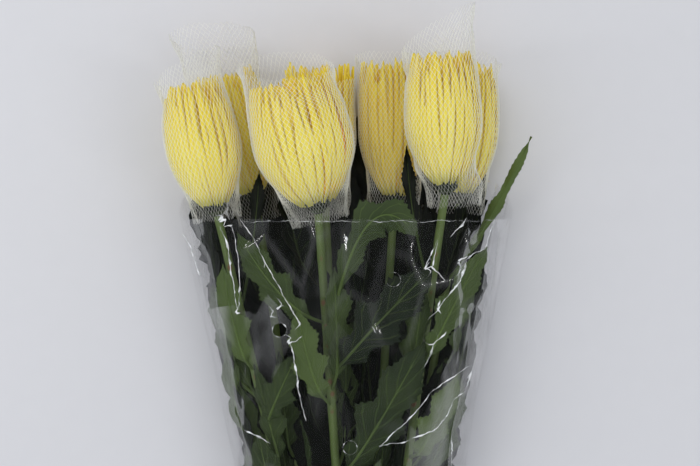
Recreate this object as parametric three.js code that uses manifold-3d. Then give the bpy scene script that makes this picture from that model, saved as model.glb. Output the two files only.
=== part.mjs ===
// A sleeved bunch of seven disbud chrysanthemums, laid down on its back, in millimetres.
// +Y runs from the cut ends to the flower heads, +X to the right seen from above, +Z up.
// Each flower is a yellow head of strap petals held shut in a tube of white net, on its own
// leafy green stem. A clear film sleeve and an elastic band hold the seven together.

import * as THREE from "three";
import { mergeGeometries, mergeVertices } from "three/addons/utils/BufferGeometryUtils.js";
import Module from "manifold-3d";

const wasm = await Module();
wasm.setup();

// Driving sizes of the film sleeve
const SLEEVE_FOOT = 77;
const SLEEVE_MOUTH = 577;
const SLEEVE_BACK_RISE = 36;
const FOOT_HALF_WIDTH = 37;
const MOUTH_HALF_WIDTH = 132;
const FOOT_HEIGHT = 36;
const MOUTH_HEIGHT = 122;
const FOOT_CENTRE_X = 5;
const MOUTH_CENTRE_X = -3;
const SLEEVE_SQUARENESS = 2.6;
const SLEEVE_LOW_SHARE = 0.46;
const SLEEVE_ROWS = [0, 0.2, 0.42, 0.64, 0.84, 1];
const SLEEVE_SIDES = 24;
const FILM_WALL = 0.8;
const VENT_RADIUS = 5.5;
const VENTS = [[-54, 492], [62, 486], [0, 400], [33, 531], [-60, 330], [48, 318], [-4, 250], [20, 160]];

// Driving sizes of the stems and of the bundle at their cut ends
const STEM_RADIUS_FOOT = 4;
const STEM_RADIUS_HEAD = 3.5;
const STEM_SIDES = 6;
const STEM_STEPS = 7;
const BUNDLE_PITCH = 8.6;
const BUNDLE_ROW_RISE = 7.45;
const BUNDLE_LOWER_Z = 5.6;
const BUNDLE_TOP = 90;
const STEM_BOW = 0.86;

// Driving sizes of a head
const CALYX_RADIUS = 9.5;
const CALYX_HEIGHT = 9;
const CALYX_SIDES = 8;
const SEAT_GAP = 0.3;
const OUTER_PETALS = 14;
const OUTER_PETAL_STEPS = 3;
const OUTER_PETAL_COVER = 0.93;
const INNER_PETALS = 7;
const INNER_PETAL_STEPS = 2;
const INNER_PETAL_COVER = 0.62;
const INNER_PETAL_FOOT = 0.74;
const PETAL_SEAT_DEPTH = 3.4;
const PETAL_TIP_FROM = 0.8;
const TIP_NARROWING = 0.16;
const PETAL_THICKNESS = 1.7;
const WIDEST_AT = 0.5;
const BASE_SHARE = 0.4;
const PETAL_STRETCH = 1.4;
const CORE_DEPTH = 5.6;
const CORE_SIDES = 8;
const CORE_TOP = 0.86;

// Driving sizes of a net
const NET_WALL = 0.8;
const NET_CLEARANCE = 0.3;
const NET_SIDES = 14;
const NET_ROWS = 7;
const NET_LOOSE_SHARE = 0.8;
const NET_GATHER = 0.45;
const NET_FLARE = 0.5;
const NET_FLARE_FROM = 0.9;
const NET_SLANT_FROM = 0.7;
const NET_SLANT_SPAN = 0.4;

// Driving sizes of the leaves
const LEAF_THICKNESS = 0.8;
const PETIOLE_THICKNESS = 2.6;
const LEAF_STEPS = 8;
const LEAF_CUP = 0.12;
const LEAF_DROOP = 0.1;
const LEAF_SPRING = 2.2;
const LEAF_NESTING = 0.055;
const STALK_SHARE = 0.28;
const STALK_SEAT = 1.2;
const LEAF_SPACING = 58;
const LEAVES_PER_STEM = 4;
const LEAF_TURN = 137.5;
const FIRST_LEAF_Y = 262;
const CELL_GAP = 1.5;
const FILM_GAP = 2.4;
const FRONT_FILM_GAP = 13;
const LAYER_RUN = 0.3;
const CELL_FIRMNESS = 6;

// Driving sizes of the elastic band
const BAND_Y = 46;
const BAND_WIDTH = 4;
const BAND_THICKNESS = 1.1;
const BAND_STEPS = 16;

// The seven flowers. base is the foot of the petals and top the middle of their tips, both
// [x, y, z]. slot is the stem's place in the bundle: along its row, then the row.
const FLOWERS = [
  {
    name: "upper_left", base: [-105, 586, 83], top: [-123, 680, 91], slot: [-1, 1],
    width: 29, depth: 28, netTop: 16, netTilt: [10, 4], netFoot: 17, netTail: 9, leafTurn: 150,
  },
  {
    name: "upper_middle", base: [-25, 588, 90], top: [-47, 683, 104], slot: [0, 1],
    width: 38.5, depth: 33, netTop: 12, netTilt: [-7, -10], netFoot: 21, netTail: 13, leafTurn: 20,
  },
  {
    name: "upper_right", base: [75, 603, 84], top: [70, 704, 92], slot: [1, 1],
    width: 29.5, depth: 28, netTop: 22, netTilt: [16, 5], netFoot: 20, netTail: 16, leafTurn: 60,
  },
  {
    name: "lower_left", base: [-78.5, 598, 27], top: [-104.5, 695, 32], slot: [-1.5, 0],
    width: 27.6, depth: 27.6, netTop: 34, netTilt: [-6, 8], netFoot: 18, netTail: 22, leafTurn: 200,
  },
  {
    name: "lower_mid_left", base: [-20.5, 594, 28], top: [-26, 702, 32], slot: [-0.5, 0],
    width: 27.6, depth: 27.6, netTop: -12, netTilt: [3, -4], netFoot: 18, netTail: 14, leafTurn: 310,
  },
  {
    name: "lower_mid_right", base: [36.5, 595, 28], top: [34, 704, 32], slot: [0.5, 0],
    width: 27.6, depth: 27.6, netTop: 4, netTilt: [-3, 4], netFoot: 20, netTail: 16, leafTurn: 250,
  },
  {
    name: "lower_right", base: [91, 597, 28], top: [96, 702, 32], slot: [1.5, 0],
    width: 27.6, depth: 27.6, netTop: 10, netTilt: [-6, 4], netFoot: 18, netTail: 15, leafTurn: 330,
  },
];

// Leaves that the rule doesn't place. A midrib starts at its stem at height y and runs past
// via to tip, and width is half the blade's width. Those with a layer lie flat behind the
// front film, so far behind its outer face, and via and tip are [x, y]. The others stand
// between the heads or out of the mouth, with via and tip as [x, y, z], and fold is how far
// their edges lie behind the midrib.
const CHOSEN_LEAVES = [
  { flower: "upper_middle", y: 478, via: [8, 622], tip: [52, 563], width: 19, layer: 3 },
  { flower: "upper_middle", y: 452, via: [8, 486], tip: [64, 540], width: 25, layer: 6.5 },
  { flower: "upper_middle", y: 428, via: [-32, 452], tip: [-40, 508], width: 17, layer: 3 },
  { flower: "upper_middle", y: 495, via: [-54, 508], tip: [-86, 566], width: 17, layer: 6.5 },
  { flower: "upper_middle", y: 368, via: [14, 398], tip: [58, 482], width: 25, layer: 10 },
  { flower: "upper_middle", y: 300, via: [4, 330], tip: [24, 390], width: 19, layer: 3 },
  { flower: "upper_left", y: 455, via: [-90, 478], tip: [-99, 542], width: 15, layer: 7 },
  { flower: "upper_left", y: 412, via: [-62, 430], tip: [-40, 474], width: 16, layer: 10 },
  { flower: "upper_left", y: 325, via: [-62, 350], tip: [-72, 410], width: 17, layer: 3 },
  { flower: "upper_right", y: 455, via: [70, 496], tip: [106, 556], width: 16, layer: 5 },
  { flower: "upper_right", y: 385, via: [60, 398], tip: [84, 456], width: 16, layer: 3 },
  { flower: "upper_right", y: 300, via: [44, 322], tip: [58, 380], width: 17, layer: 3 },
  { flower: "upper_right", y: 520, via: [48, 572, 60], tip: [45, 636, 62], width: 8, fold: 0 },
  { flower: "upper_left", y: 505, via: [-74, 560, 70], tip: [-72, 616, 68], width: 9, fold: 2 },
  { flower: "lower_right", y: 525, via: [112, 570, 48], tip: [146, 644, 52], width: 9, fold: 5 },
];

// The shortest side and the least height that a face of a leafy stem keeps
const SHORTEST_SIDE = 0.09;
const LOWEST_FACE = 0.012;

// A seeded draw of numbers from 0 to 1.
function seededDraw(seed) {
  let state = seed >>> 0;
  return () => {
    state = (state + 0x6d2b79f5) >>> 0;
    let t = Math.imul(state ^ (state >>> 15), 1 | state);
    t = (t + Math.imul(t ^ (t >>> 7), 61 | t)) ^ t;
    return ((t ^ (t >>> 14)) >>> 0) / 4294967296;
  };
}

const mix = (a, b, t) => a + (b - a) * t;
const clamp01 = (t) => Math.min(1, Math.max(0, t));
const smooth = (t) => clamp01(t) * clamp01(t) * (3 - 2 * clamp01(t));
const signedPower = (v, p) => Math.sign(v) * Math.abs(v) ** p;

// Turns a closed geometry into a solid, and a solid back into a geometry.
function solidOf(geometry) {
  const bare = new THREE.BufferGeometry();
  bare.setAttribute("position", geometry.getAttribute("position"));
  bare.setIndex(geometry.getIndex());
  const merged = mergeVertices(bare, 1e-4);
  return new wasm.Manifold(
    new wasm.Mesh({
      numProp: 3,
      vertProperties: new Float32Array(merged.getAttribute("position").array),
      triVerts: new Uint32Array(merged.getIndex().array),
    }),
  );
}

function geometryOf(solid) {
  const mesh = solid.getMesh();
  const positions = new Float32Array(mesh.numVert * 3);
  for (let i = 0; i < mesh.numVert; i++) {
    positions.set(mesh.vertProperties.subarray(i * mesh.numProp, i * mesh.numProp + 3), i * 3);
  }
  const geometry = new THREE.BufferGeometry();
  geometry.setAttribute("position", new THREE.BufferAttribute(positions, 3));
  geometry.setIndex(new THREE.BufferAttribute(mesh.triVerts, 1));
  geometry.computeVertexNormals();
  return geometry;
}

// Moves every vertex of a geometry by a function of its place.
function shaped(geometry, place) {
  const position = geometry.getAttribute("position");
  const point = new THREE.Vector3();
  for (let i = 0; i < position.count; i++) {
    const moved = place(point.fromBufferAttribute(position, i));
    position.setXYZ(i, moved.x, moved.y, moved.z);
  }
  return geometry;
}

// The union of the solids, without the scraps that don't hold to its largest body.
function joined(solids) {
  const bodies = solidOf(geometryOf(wasm.Manifold.union(solids))).decompose();
  return bodies.reduce((best, body) => (body.volume() > best.volume() ? body : best));
}

// The two ends of every side of the faces, each side once, with the faces on it.
function sidesOf(faces) {
  const sides = new Map();
  faces.forEach((face, index) => {
    for (let k = 0; k < 3; k++) {
      const ends = [face[k], face[(k + 1) % 3]].sort((a, b) => a - b);
      const key = ends.join();
      if (!sides.has(key)) sides.set(key, { ends, on: [] });
      sides.get(key).on.push(index);
    }
  });
  return sides;
}

// Draws together two corners closer than SHORTEST_SIDE, where that leaves the body closed.
function shortSideClosed(corners, faces) {
  const sides = sidesOf(faces);
  const next = corners.map(() => new Set());
  for (const { ends } of sides.values()) {
    next[ends[0]].add(ends[1]);
    next[ends[1]].add(ends[0]);
  }
  for (const { ends } of sides.values()) {
    const [a, b] = ends;
    if (corners[a].distanceTo(corners[b]) >= SHORTEST_SIDE) continue;
    const shared = [...next[a]].filter((corner) => next[b].has(corner));
    if (shared.length !== 2 || shared.some((corner) => next[corner].size < 4)) continue;
    const moved = faces.map((face) => face.map((corner) => (corner === b ? a : corner)));
    return moved.filter((face) => new Set(face).size === 3);
  }
  return null;
}

// A face's least height, which stands on its longest side.
function leastHeight(corners, face) {
  const [p, q, r] = face.map((corner) => corners[corner]);
  const longest = Math.max(p.distanceTo(q), q.distanceTo(r), r.distanceTo(p));
  return (2 * new THREE.Triangle(p, q, r).getArea()) / longest;
}

// Turns one side of a face that is lower than LOWEST_FACE towards the corner opposite it,
// where both faces on that side are less flat afterwards.
function flatFaceTurned(corners, faces) {
  const sides = sidesOf(faces);
  for (const [index, face] of faces.entries()) {
    const before = leastHeight(corners, face);
    if (before >= LOWEST_FACE) continue;
    for (let k = 0; k < 3; k++) {
      const [a, b, c] = [face[k], face[(k + 1) % 3], face[(k + 2) % 3]];
      const { on } = sides.get([a, b].sort((m, n) => m - n).join());
      const other = on.find((place) => place !== index);
      const d = faces[other].find((corner) => corner !== a && corner !== b);
      const pair = [[c, a, d], [d, b, c]];
      const after = Math.min(...pair.map((one) => leastHeight(corners, one)));
      if (after < 1.2 * before || sides.has([c, d].sort((m, n) => m - n).join())) continue;
      const turned = [...faces];
      [turned[index], turned[other]] = pair;
      return turned;
    }
  }
  return null;
}

// The solid's geometry without the slivers that a union leaves where surfaces cross closely.
function withoutSlivers(solid) {
  const geometry = geometryOf(solid);
  const position = geometry.getAttribute("position");
  const index = [...geometry.getIndex().array];
  const corners = [...Array(position.count).keys()].map((i) =>
    new THREE.Vector3().fromBufferAttribute(position, i),
  );
  let faces = [];
  for (let i = 0; i < index.length; i += 3) faces.push(index.slice(i, i + 3));
  for (let round = 0; round < 200; round++) {
    const better = shortSideClosed(corners, faces) ?? flatFaceTurned(corners, faces);
    if (!better) break;
    faces = better;
  }
  const tidy = new THREE.BufferGeometry().setFromPoints(corners).setIndex(faces.flat());
  return mergeVertices(tidy.toNonIndexed(), 1e-5);
}

// The film sleeve's section at height y, as its half-width, height and centre.
function sleeveSection(y) {
  const t = (y - SLEEVE_FOOT) / (SLEEVE_MOUTH - SLEEVE_FOOT);
  return {
    halfWidth: mix(FOOT_HALF_WIDTH, MOUTH_HALF_WIDTH, t),
    height: mix(FOOT_HEIGHT, MOUTH_HEIGHT, t),
    centreX: mix(FOOT_CENTRE_X, MOUTH_CENTRE_X, t),
  };
}

// A point of the section at an angle, inset by so much, flat where it lies on the surface.
function sleevePoint(y, angle, inset) {
  const { halfWidth, height, centreX } = sleeveSection(y);
  const power = 2 / SLEEVE_SQUARENESS;
  const x = signedPower(Math.cos(angle), power) * (halfWidth - inset);
  const low = height * SLEEVE_LOW_SHARE;
  const z = low + signedPower(Math.sin(angle), power) * (height - low - inset);
  return new THREE.Vector3(centreX + x, y, Math.max(inset, z));
}

// The centre line of a stem: straight in the bundle, then a fan to the head with a slight bow.
function stemPoint(flower, y) {
  const [along, row] = flower.slot;
  const footX = FOOT_CENTRE_X + along * BUNDLE_PITCH;
  const footZ = BUNDLE_LOWER_Z + row * BUNDLE_ROW_RISE;
  const t = clamp01((y - BUNDLE_TOP) / (flower.base[1] - BUNDLE_TOP));
  const share = t * mix(STEM_BOW, 1, t);
  return new THREE.Vector3(
    mix(footX, flower.base[0], share),
    y,
    mix(footZ, flower.base[2], share),
  );
}

function stemRadius(flower, y) {
  return mix(STEM_RADIUS_FOOT, STEM_RADIUS_HEAD, clamp01(y / flower.base[1]));
}

// Half-planes that bound a stem's own room at height y: [normal x, normal z, distance].
// They are the film, which lets go above the mouth, and between two stems the plane halfway.
// In front they stand further off the film, where the chosen leaves lie.
function roomPlanes(flower, y) {
  const own = stemPoint(flower, y);
  const planes = [];
  for (const other of FLOWERS) {
    if (other === flower) continue;
    const their = stemPoint(other, y);
    const apart = Math.hypot(their.x - own.x, their.z - own.z);
    planes.push([(their.x - own.x) / apart, (their.z - own.z) / apart, apart / 2 - CELL_GAP]);
  }
  const opening = Math.max(0, y - SLEEVE_MOUTH - 0.7 * SLEEVE_BACK_RISE);
  for (let i = 0; i < SLEEVE_SIDES; i++) {
    const a = sleevePoint(y, (2 * Math.PI * i) / SLEEVE_SIDES, FILM_WALL);
    const b = sleevePoint(y, (2 * Math.PI * (i + 1)) / SLEEVE_SIDES, FILM_WALL);
    const length = Math.hypot(b.x - a.x, b.z - a.z);
    if (length < 1e-6) continue;
    const nx = (b.z - a.z) / length;
    const nz = -(b.x - a.x) / length;
    const gap = nz > 0.3 ? FRONT_FILM_GAP : FILM_GAP;
    planes.push([nx, nz, (a.x - own.x) * nx + (a.z - own.z) * nz - gap + opening]);
  }
  return planes;
}

// Draws a point in towards its stem, so that it stays inside share hug of the stem's room.
function pressedIn(flower, point, hug) {
  const own = stemPoint(flower, point.y);
  const dx = point.x - own.x;
  const dz = point.z - own.z;
  let crowding = 1;
  for (const [nx, nz, distance] of roomPlanes(flower, point.y)) {
    const share = Math.max(0, dx * nx + dz * nz) / Math.max(1, distance * hug);
    crowding += share ** CELL_FIRMNESS;
  }
  const scale = crowding ** (-1 / CELL_FIRMNESS);
  return new THREE.Vector3(own.x + dx * scale, point.y, own.z + dz * scale);
}

// Half the width of a lobed leaf along its midrib, as a share of the widest: a stalk, then
// two pairs of lobes with a bay between them, and a broad end lobe. slant is how far the
// edge runs ahead of the midrib.
const LEAF_EDGE = [
  { along: 0, half: 0.06, slant: 0 },
  { along: 0.17, half: 0.08, slant: 0 },
  { along: 0.27, half: 0.58, slant: 0.05 },
  { along: 0.39, half: 0.4, slant: 0.02 },
  { along: 0.5, half: 1, slant: 0.08 },
  { along: 0.63, half: 0.5, slant: 0.03 },
  { along: 0.73, half: 0.78, slant: 0.07 },
  { along: 0.86, half: 0.44, slant: 0.03 },
  { along: 1, half: 0.04, slant: 0 },
];

// The outline at share u of a leaf: its place along the midrib and half its width.
function leafOutline(leaf, u, side) {
  const place = u * (LEAF_EDGE.length - 1);
  const index = Math.min(LEAF_EDGE.length - 2, Math.floor(place));
  const from = LEAF_EDGE[index];
  const to = LEAF_EDGE[index + 1];
  const part = place - index;
  const slant = mix(from.slant, to.slant, part) * Math.abs(side);
  return {
    run: mix(from.along, to.along, part) + slant,
    half: mix(from.half, to.half, part) * leaf.width,
  };
}

// A point of a spiral leaf's middle surface: u along the midrib from 0 to 1, side from -1
// to 1. The leaf runs up its stem and away from it, and turns round it by lean degrees.
function spiralLeafPoint(flower, leaf, u, side) {
  const { run, half } = leafOutline(leaf, u, side);
  const reached = 1 - (1 - Math.min(1, run)) ** LEAF_SPRING;
  const off = stemRadius(flower, leaf.y) - STALK_SEAT + leaf.reach * reached;
  const lean = THREE.MathUtils.degToRad(leaf.lean);
  const tilt = Math.atan2(lean * leaf.reach, leaf.length);
  const rise = leaf.length * (run - LEAF_DROOP * Math.sin(Math.PI * run));
  const y = leaf.y + rise - side * half * Math.sin(tilt);
  const cup = LEAF_CUP * half * side * side;
  const spread = (side * half * Math.cos(tilt)) / (off + 6 * smooth(run / 0.17));
  const angle = THREE.MathUtils.degToRad(leaf.azimuth) + lean * run + spread;
  const own = stemPoint(flower, y);
  const x = own.x + Math.cos(angle) * (off - cup);
  const z = own.z + Math.sin(angle) * (off - cup);
  return pressedIn(flower, new THREE.Vector3(x, y, z), leaf.hug);
}

// The height of the film's front face over a point of the surface.
function filmFront(x, y) {
  const { halfWidth, height, centreX } = sleeveSection(y);
  const share = Math.min(1, Math.abs(x - centreX) / halfWidth);
  const crown = (1 - share ** SLEEVE_SQUARENESS) ** (1 / SLEEVE_SQUARENESS);
  return height * mix(SLEEVE_LOW_SHARE, 1, crown);
}

// A point of a chosen leaf's middle surface, whose midrib is an arc from its stem to its tip.
function chosenLeafPoint(flower, leaf, u, side) {
  const { run, half } = leafOutline(leaf, u, side);
  const start = stemPoint(flower, leaf.y);
  const via = new THREE.Vector3(leaf.via[0], leaf.via[1], leaf.via[2] ?? start.z);
  const tip = new THREE.Vector3(leaf.tip[0], leaf.tip[1], leaf.tip[2] ?? start.z);
  const midrib = new THREE.QuadraticBezierCurve3(start, via, tip);
  const point = midrib.getPoint(run);
  const tangent = midrib.getTangent(run);
  const across = new THREE.Vector3(tangent.y, -tangent.x, 0).normalize();
  point.addScaledVector(across, side * half);
  if (!leaf.layer) {
    point.z -= leaf.fold * Math.abs(side) * (half / leaf.width);
    return point;
  }
  const lain = filmFront(point.x, point.y) - leaf.layer;
  point.z = mix(start.z, lain, smooth(run / LAYER_RUN));
  return point;
}

// A box whose back is split into triangles along the same diagonals as its front, so that a
// thin blade bent out of it doesn't cross itself.
function withBackTurned(box) {
  const index = box.getIndex();
  const { start, count } = box.groups[5];
  for (let i = start; i < start + count; i += 6) {
    const [a, b, d] = index.array.slice(i, i + 3);
    const c = index.array[i + 4];
    index.array.set([a, b, c, a, c, d], i);
  }
  return box;
}

// A leaf as one thin blade with the same thickness all over, thicker at its stalk.
function leafSolid(flower, leaf) {
  const placed = leaf.tip ? chosenLeafPoint : spiralLeafPoint;
  const middle = (u, side) => placed(flower, leaf, u, side);
  const step = 0.02;
  const blade = withBackTurned(new THREE.BoxGeometry(2, 1, 1, 2, LEAF_STEPS, 1));
  shaped(blade, (p) => {
    const u = p.y + 0.5;
    const alongA = middle(Math.max(0, u - step), p.x);
    const alongB = middle(Math.min(1, u + step), p.x);
    const acrossA = middle(u, Math.max(-1, p.x - 0.2));
    const acrossB = middle(u, Math.min(1, p.x + 0.2));
    const normal = alongB.sub(alongA).cross(acrossB.sub(acrossA)).normalize();
    const stalk = smooth((STALK_SHARE - u) / 0.2);
    const thickness = mix(LEAF_THICKNESS, PETIOLE_THICKNESS, stalk);
    return middle(u, p.x).addScaledVector(normal, -p.z * thickness);
  });
  return solidOf(blade);
}

// The leaves of one stem: a spiral up the stem by rule, then any chosen ones.
function leavesOf(flower, seed) {
  const draw = seededDraw(seed);
  const leaves = [];
  for (let i = 0; i < LEAVES_PER_STEM; i++) {
    const y = FIRST_LEAF_Y + i * LEAF_SPACING + (draw() - 0.5) * 12;
    leaves.push({
      y,
      azimuth: flower.leafTurn + i * LEAF_TURN + (draw() - 0.5) * 24,
      lean: (draw() - 0.5) * 50,
      hug: 1 - LEAF_NESTING * i,
      length: mix(84, 100, draw()),
      width: mix(22, 28, draw()),
      reach: mix(22, 38, draw()),
    });
  }
  return leaves.concat(CHOSEN_LEAVES.filter((leaf) => leaf.flower === flower.name));
}

// The frame of a head: its origin at the foot of the petals, its +Y along the head.
function headFrame(flower) {
  const base = new THREE.Vector3(...flower.base);
  const axis = new THREE.Vector3(...flower.top).sub(base);
  const frame = new THREE.Group();
  frame.position.copy(base);
  frame.quaternion.setFromUnitVectors(new THREE.Vector3(0, 1, 0), axis.clone().normalize());
  frame.updateMatrixWorld(true);
  return { frame, height: axis.length() };
}

// The head's outline: the radius at share t of its height, as a share of its widest.
function headProfile(t) {
  if (t < WIDEST_AT) {
    return mix(BASE_SHARE, 1, Math.sin((Math.PI / 2) * (Math.max(0, t) / WIDEST_AT)));
  }
  return 1 - TIP_NARROWING * ((t - WIDEST_AT) / (1 - WIDEST_AT)) ** 2;
}

// A leafy stem: the stem, the green cup under the head, and the leaves, grown as one piece.
function leafyStem(flower, seed) {
  const top = flower.base[1] - 3;
  const profile = [new THREE.Vector2(0, 0)];
  for (let i = 0; i <= STEM_STEPS; i++) {
    const y = (top * i) / STEM_STEPS;
    profile.push(new THREE.Vector2(stemRadius(flower, y), y));
  }
  profile.push(new THREE.Vector2(0, top));
  const stem = shaped(new THREE.LatheGeometry(profile, STEM_SIDES), (p) =>
    stemPoint(flower, p.y).add(new THREE.Vector3(p.x, 0, p.z)),
  );
  const { frame } = headFrame(flower);
  const cup = new THREE.LatheGeometry(
    [
      new THREE.Vector2(0, -CALYX_HEIGHT),
      new THREE.Vector2(STEM_RADIUS_HEAD + 0.4, -CALYX_HEIGHT),
      new THREE.Vector2(CALYX_RADIUS * 0.8, -CALYX_HEIGHT * 0.55),
      new THREE.Vector2(CALYX_RADIUS, -SEAT_GAP),
      new THREE.Vector2(0, -SEAT_GAP),
    ],
    CALYX_SIDES,
  ).applyMatrix4(frame.matrixWorld);
  const leaves = leavesOf(flower, seed).map((leaf) => leafSolid(flower, leaf));
  return solidOf(withoutSlivers(joined([solidOf(stem), solidOf(cup), ...leaves])));
}

// One strap petal, three-sided with a keel down its back, from its foot at share from to its
// tip at share to of the head's height. share is how wide its ring is against the head's
// outline, and inset how far it lies inside that. Its foot is seated sink deeper.
function petalSolid(flower, height, petal) {
  const strap = new THREE.CylinderGeometry(1, 1, 1, 3, petal.steps);
  shaped(strap, (p) => {
    const u = p.y + 0.5;
    const t = mix(petal.from, petal.to, u ** PETAL_STRETCH);
    const middle = Math.hypot(p.x, p.z) < 0.5;
    const corner = middle ? 0 : Math.atan2(p.x, p.z);
    const side = Math.abs(corner) < 0.1 ? 0 : Math.sign(corner);
    const tip = Math.max(0, u - PETAL_TIP_FROM) / (1 - PETAL_TIP_FROM);
    const taper = Math.sqrt(Math.max(0.02, 1 - tip * tip));
    const spread = side * (Math.PI / petal.count) * petal.cover * taper;
    const angle = petal.azimuth + petal.twist * u + spread;
    const depth = middle ? 0.5 * PETAL_THICKNESS : Math.abs(side) * PETAL_THICKNESS;
    const inset = petal.inset + petal.sink * clamp01(1 - 6 * u) + depth;
    const ring = headProfile(t) * petal.share;
    return new THREE.Vector3(
      Math.sin(angle) * (ring * flower.width - inset),
      t * height,
      Math.cos(angle) * (ring * flower.depth - inset),
    );
  });
  return solidOf(strap);
}

// A head's core, which the petals stand out of: inside the head's outline by CORE_DEPTH.
function headCore(flower, height) {
  const profile = [new THREE.Vector2(0, 0)];
  for (const t of [0, 0.14, 0.36, WIDEST_AT, 0.78]) {
    profile.push(new THREE.Vector2(headProfile(t), t * height));
  }
  profile.push(new THREE.Vector2(0.5, CORE_TOP * height));
  profile.push(new THREE.Vector2(0, CORE_TOP * height));
  return new THREE.LatheGeometry(profile, CORE_SIDES).scale(
    flower.width - CORE_DEPTH,
    1,
    flower.depth - CORE_DEPTH,
  );
}

// A head's petals: a core, a ring of outer straps that cover it, and inner tips on top.
function headPetals(flower, seed) {
  const { height } = headFrame(flower);
  const draw = seededDraw(seed);
  const solids = [solidOf(headCore(flower, height))];
  for (let i = 0; i < OUTER_PETALS; i++) {
    solids.push(
      petalSolid(flower, height, {
        steps: OUTER_PETAL_STEPS,
        count: OUTER_PETALS,
        azimuth: (2 * Math.PI * (i + (draw() - 0.5) * 0.1)) / OUTER_PETALS,
        twist: (draw() - 0.5) * 0.06,
        from: 0.01,
        to: mix(0.9, 1.03, draw()),
        share: 1,
        cover: OUTER_PETAL_COVER,
        inset: 0.2 + (i % 2) * 0.5,
        sink: PETAL_SEAT_DEPTH,
      }),
    );
  }
  for (let i = 0; i < INNER_PETALS; i++) {
    solids.push(
      petalSolid(flower, height, {
        steps: INNER_PETAL_STEPS,
        count: INNER_PETALS,
        azimuth: (2 * Math.PI * (i + (draw() - 0.5) * 0.5)) / INNER_PETALS,
        twist: 0.1,
        from: INNER_PETAL_FOOT,
        to: mix(0.93, 1.02, draw()),
        share: i % 3 === 2 ? 0.36 : 0.66,
        cover: INNER_PETAL_COVER,
        inset: 0,
        sink: 0,
      }),
    );
  }
  return joined(solids);
}

// A tube of net drawn over a head, open at both ends, with its upper rim cut at a slant. Each
// row is turned by half a side against the last, so that the facets are diamonds like the
// cells of the net, larger than life.
function netTube(flower) {
  const { height } = headFrame(flower);
  const foot = -flower.netTail / height;
  const rim = 1 + flower.netTop / height;
  const footShare = flower.netFoot / flower.width;
  const outline = (t) => {
    const held = headProfile(clamp01(t));
    const loose = mix(footShare, NET_LOOSE_SHARE, smooth((t - foot) / NET_GATHER));
    return Math.max(held, loose) * (1 + NET_FLARE * Math.max(0, t - NET_FLARE_FROM));
  };
  const rows = [...Array(NET_ROWS + 1).keys()];
  const outside = rows.map((row) => new THREE.Vector2(2, row));
  const inside = rows.map((row) => new THREE.Vector2(1, row)).reverse();
  const sheets = [outside, [outside.at(-1), inside[0]], inside, [inside.at(-1), outside[0]]];
  const halfSide = Math.PI / NET_SIDES;
  const facet = 1 / Math.cos(halfSide);
  const walls = sheets.map((profile) =>
    shaped(new THREE.LatheGeometry(profile, NET_SIDES), (p) => {
      const turn = profile === inside ? -p.y : p.y;
      const angle = (Math.round(Math.atan2(p.x, p.z) / halfSide) + turn) * halfSide;
      const t = mix(foot, rim, p.y / NET_ROWS);
      const out = NET_CLEARANCE + (Math.hypot(p.x, p.z) > 1.5 ? NET_WALL : 0);
      const slope = flower.netTilt[0] * Math.sin(angle) + flower.netTilt[1] * Math.cos(angle);
      return new THREE.Vector3(
        Math.sin(angle) * (outline(t) * flower.width + out) * facet,
        t * height + slope * smooth((t - NET_SLANT_FROM) / NET_SLANT_SPAN),
        Math.cos(angle) * (outline(t) * flower.depth + out) * facet,
      );
    }),
  );
  return solidOf(mergeGeometries(walls));
}

// The clear film sleeve: an open tube, wide at the mouth, its back rim higher than its front.
function filmSleeve() {
  const inside = SLEEVE_ROWS.map((t) => new THREE.Vector2(1, t));
  const outside = SLEEVE_ROWS.map((t) => new THREE.Vector2(2, t)).reverse();
  const tube = new THREE.LatheGeometry([...inside, ...outside, inside[0]], SLEEVE_SIDES);
  shaped(tube, (p) => {
    const angle = Math.atan2(p.z, p.x);
    const behind = smooth((0.35 - Math.sin(angle)) / 1.1);
    const rise = SLEEVE_BACK_RISE * behind * smooth((p.y - 0.5) / 0.5);
    const y = mix(SLEEVE_FOOT, SLEEVE_MOUTH, p.y) + rise;
    return sleevePoint(y, angle, Math.hypot(p.x, p.z) > 1.5 ? FILM_WALL : 0);
  });
  return ventHoles().reduce((film, vent) => film.subtract(vent), solidOf(tube));
}

// Round vent holes, punched through the front wall and the back wall.
function ventHoles() {
  return VENTS.map(([x, y]) => {
    const punch = new THREE.CylinderGeometry(VENT_RADIUS, VENT_RADIUS, 400, 8);
    punch.rotateX(Math.PI / 2).translate(x, y, 100);
    return solidOf(punch);
  });
}

// The elastic band, drawn round the seven stems near their cut ends.
function elasticBand() {
  const centres = FLOWERS.map((flower) => stemPoint(flower, BAND_Y));
  const inner = STEM_RADIUS_FOOT + SEAT_GAP;
  const outer = inner + BAND_THICKNESS;
  const half = BAND_WIDTH / 2;
  const profile = [
    new THREE.Vector2(outer, -half),
    new THREE.Vector2(outer, half),
    new THREE.Vector2(inner, half),
    new THREE.Vector2(inner, -half),
    new THREE.Vector2(outer, -half),
  ];
  const ring = shaped(new THREE.LatheGeometry(profile, BAND_STEPS), (p) => {
    const radius = Math.hypot(p.x, p.z);
    const nx = p.x / radius;
    const nz = p.z / radius;
    const furthest = centres.reduce((best, centre) =>
      centre.x * nx + centre.z * nz > best.x * nx + best.z * nz + 1e-6 ? centre : best,
    );
    return new THREE.Vector3(furthest.x + p.x, BAND_Y + p.y, furthest.z + p.z);
  });
  return solidOf(ring);
}

const petalYellow = new THREE.MeshStandardMaterial({ color: 0xf2df4a, roughness: 0.55 });
const leafGreen = new THREE.MeshStandardMaterial({ color: 0x3f5a32, roughness: 0.6 });
const netWhite = new THREE.MeshStandardMaterial({
  color: 0xf4f2ea,
  roughness: 0.5,
  transparent: true,
  opacity: 0.3,
});
const clearFilm = new THREE.MeshStandardMaterial({
  color: 0xe8eef0,
  roughness: 0.08,
  transparent: true,
  opacity: 0.2,
});
const bandRubber = new THREE.MeshStandardMaterial({ color: 0xb98a52, roughness: 0.7 });

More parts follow.
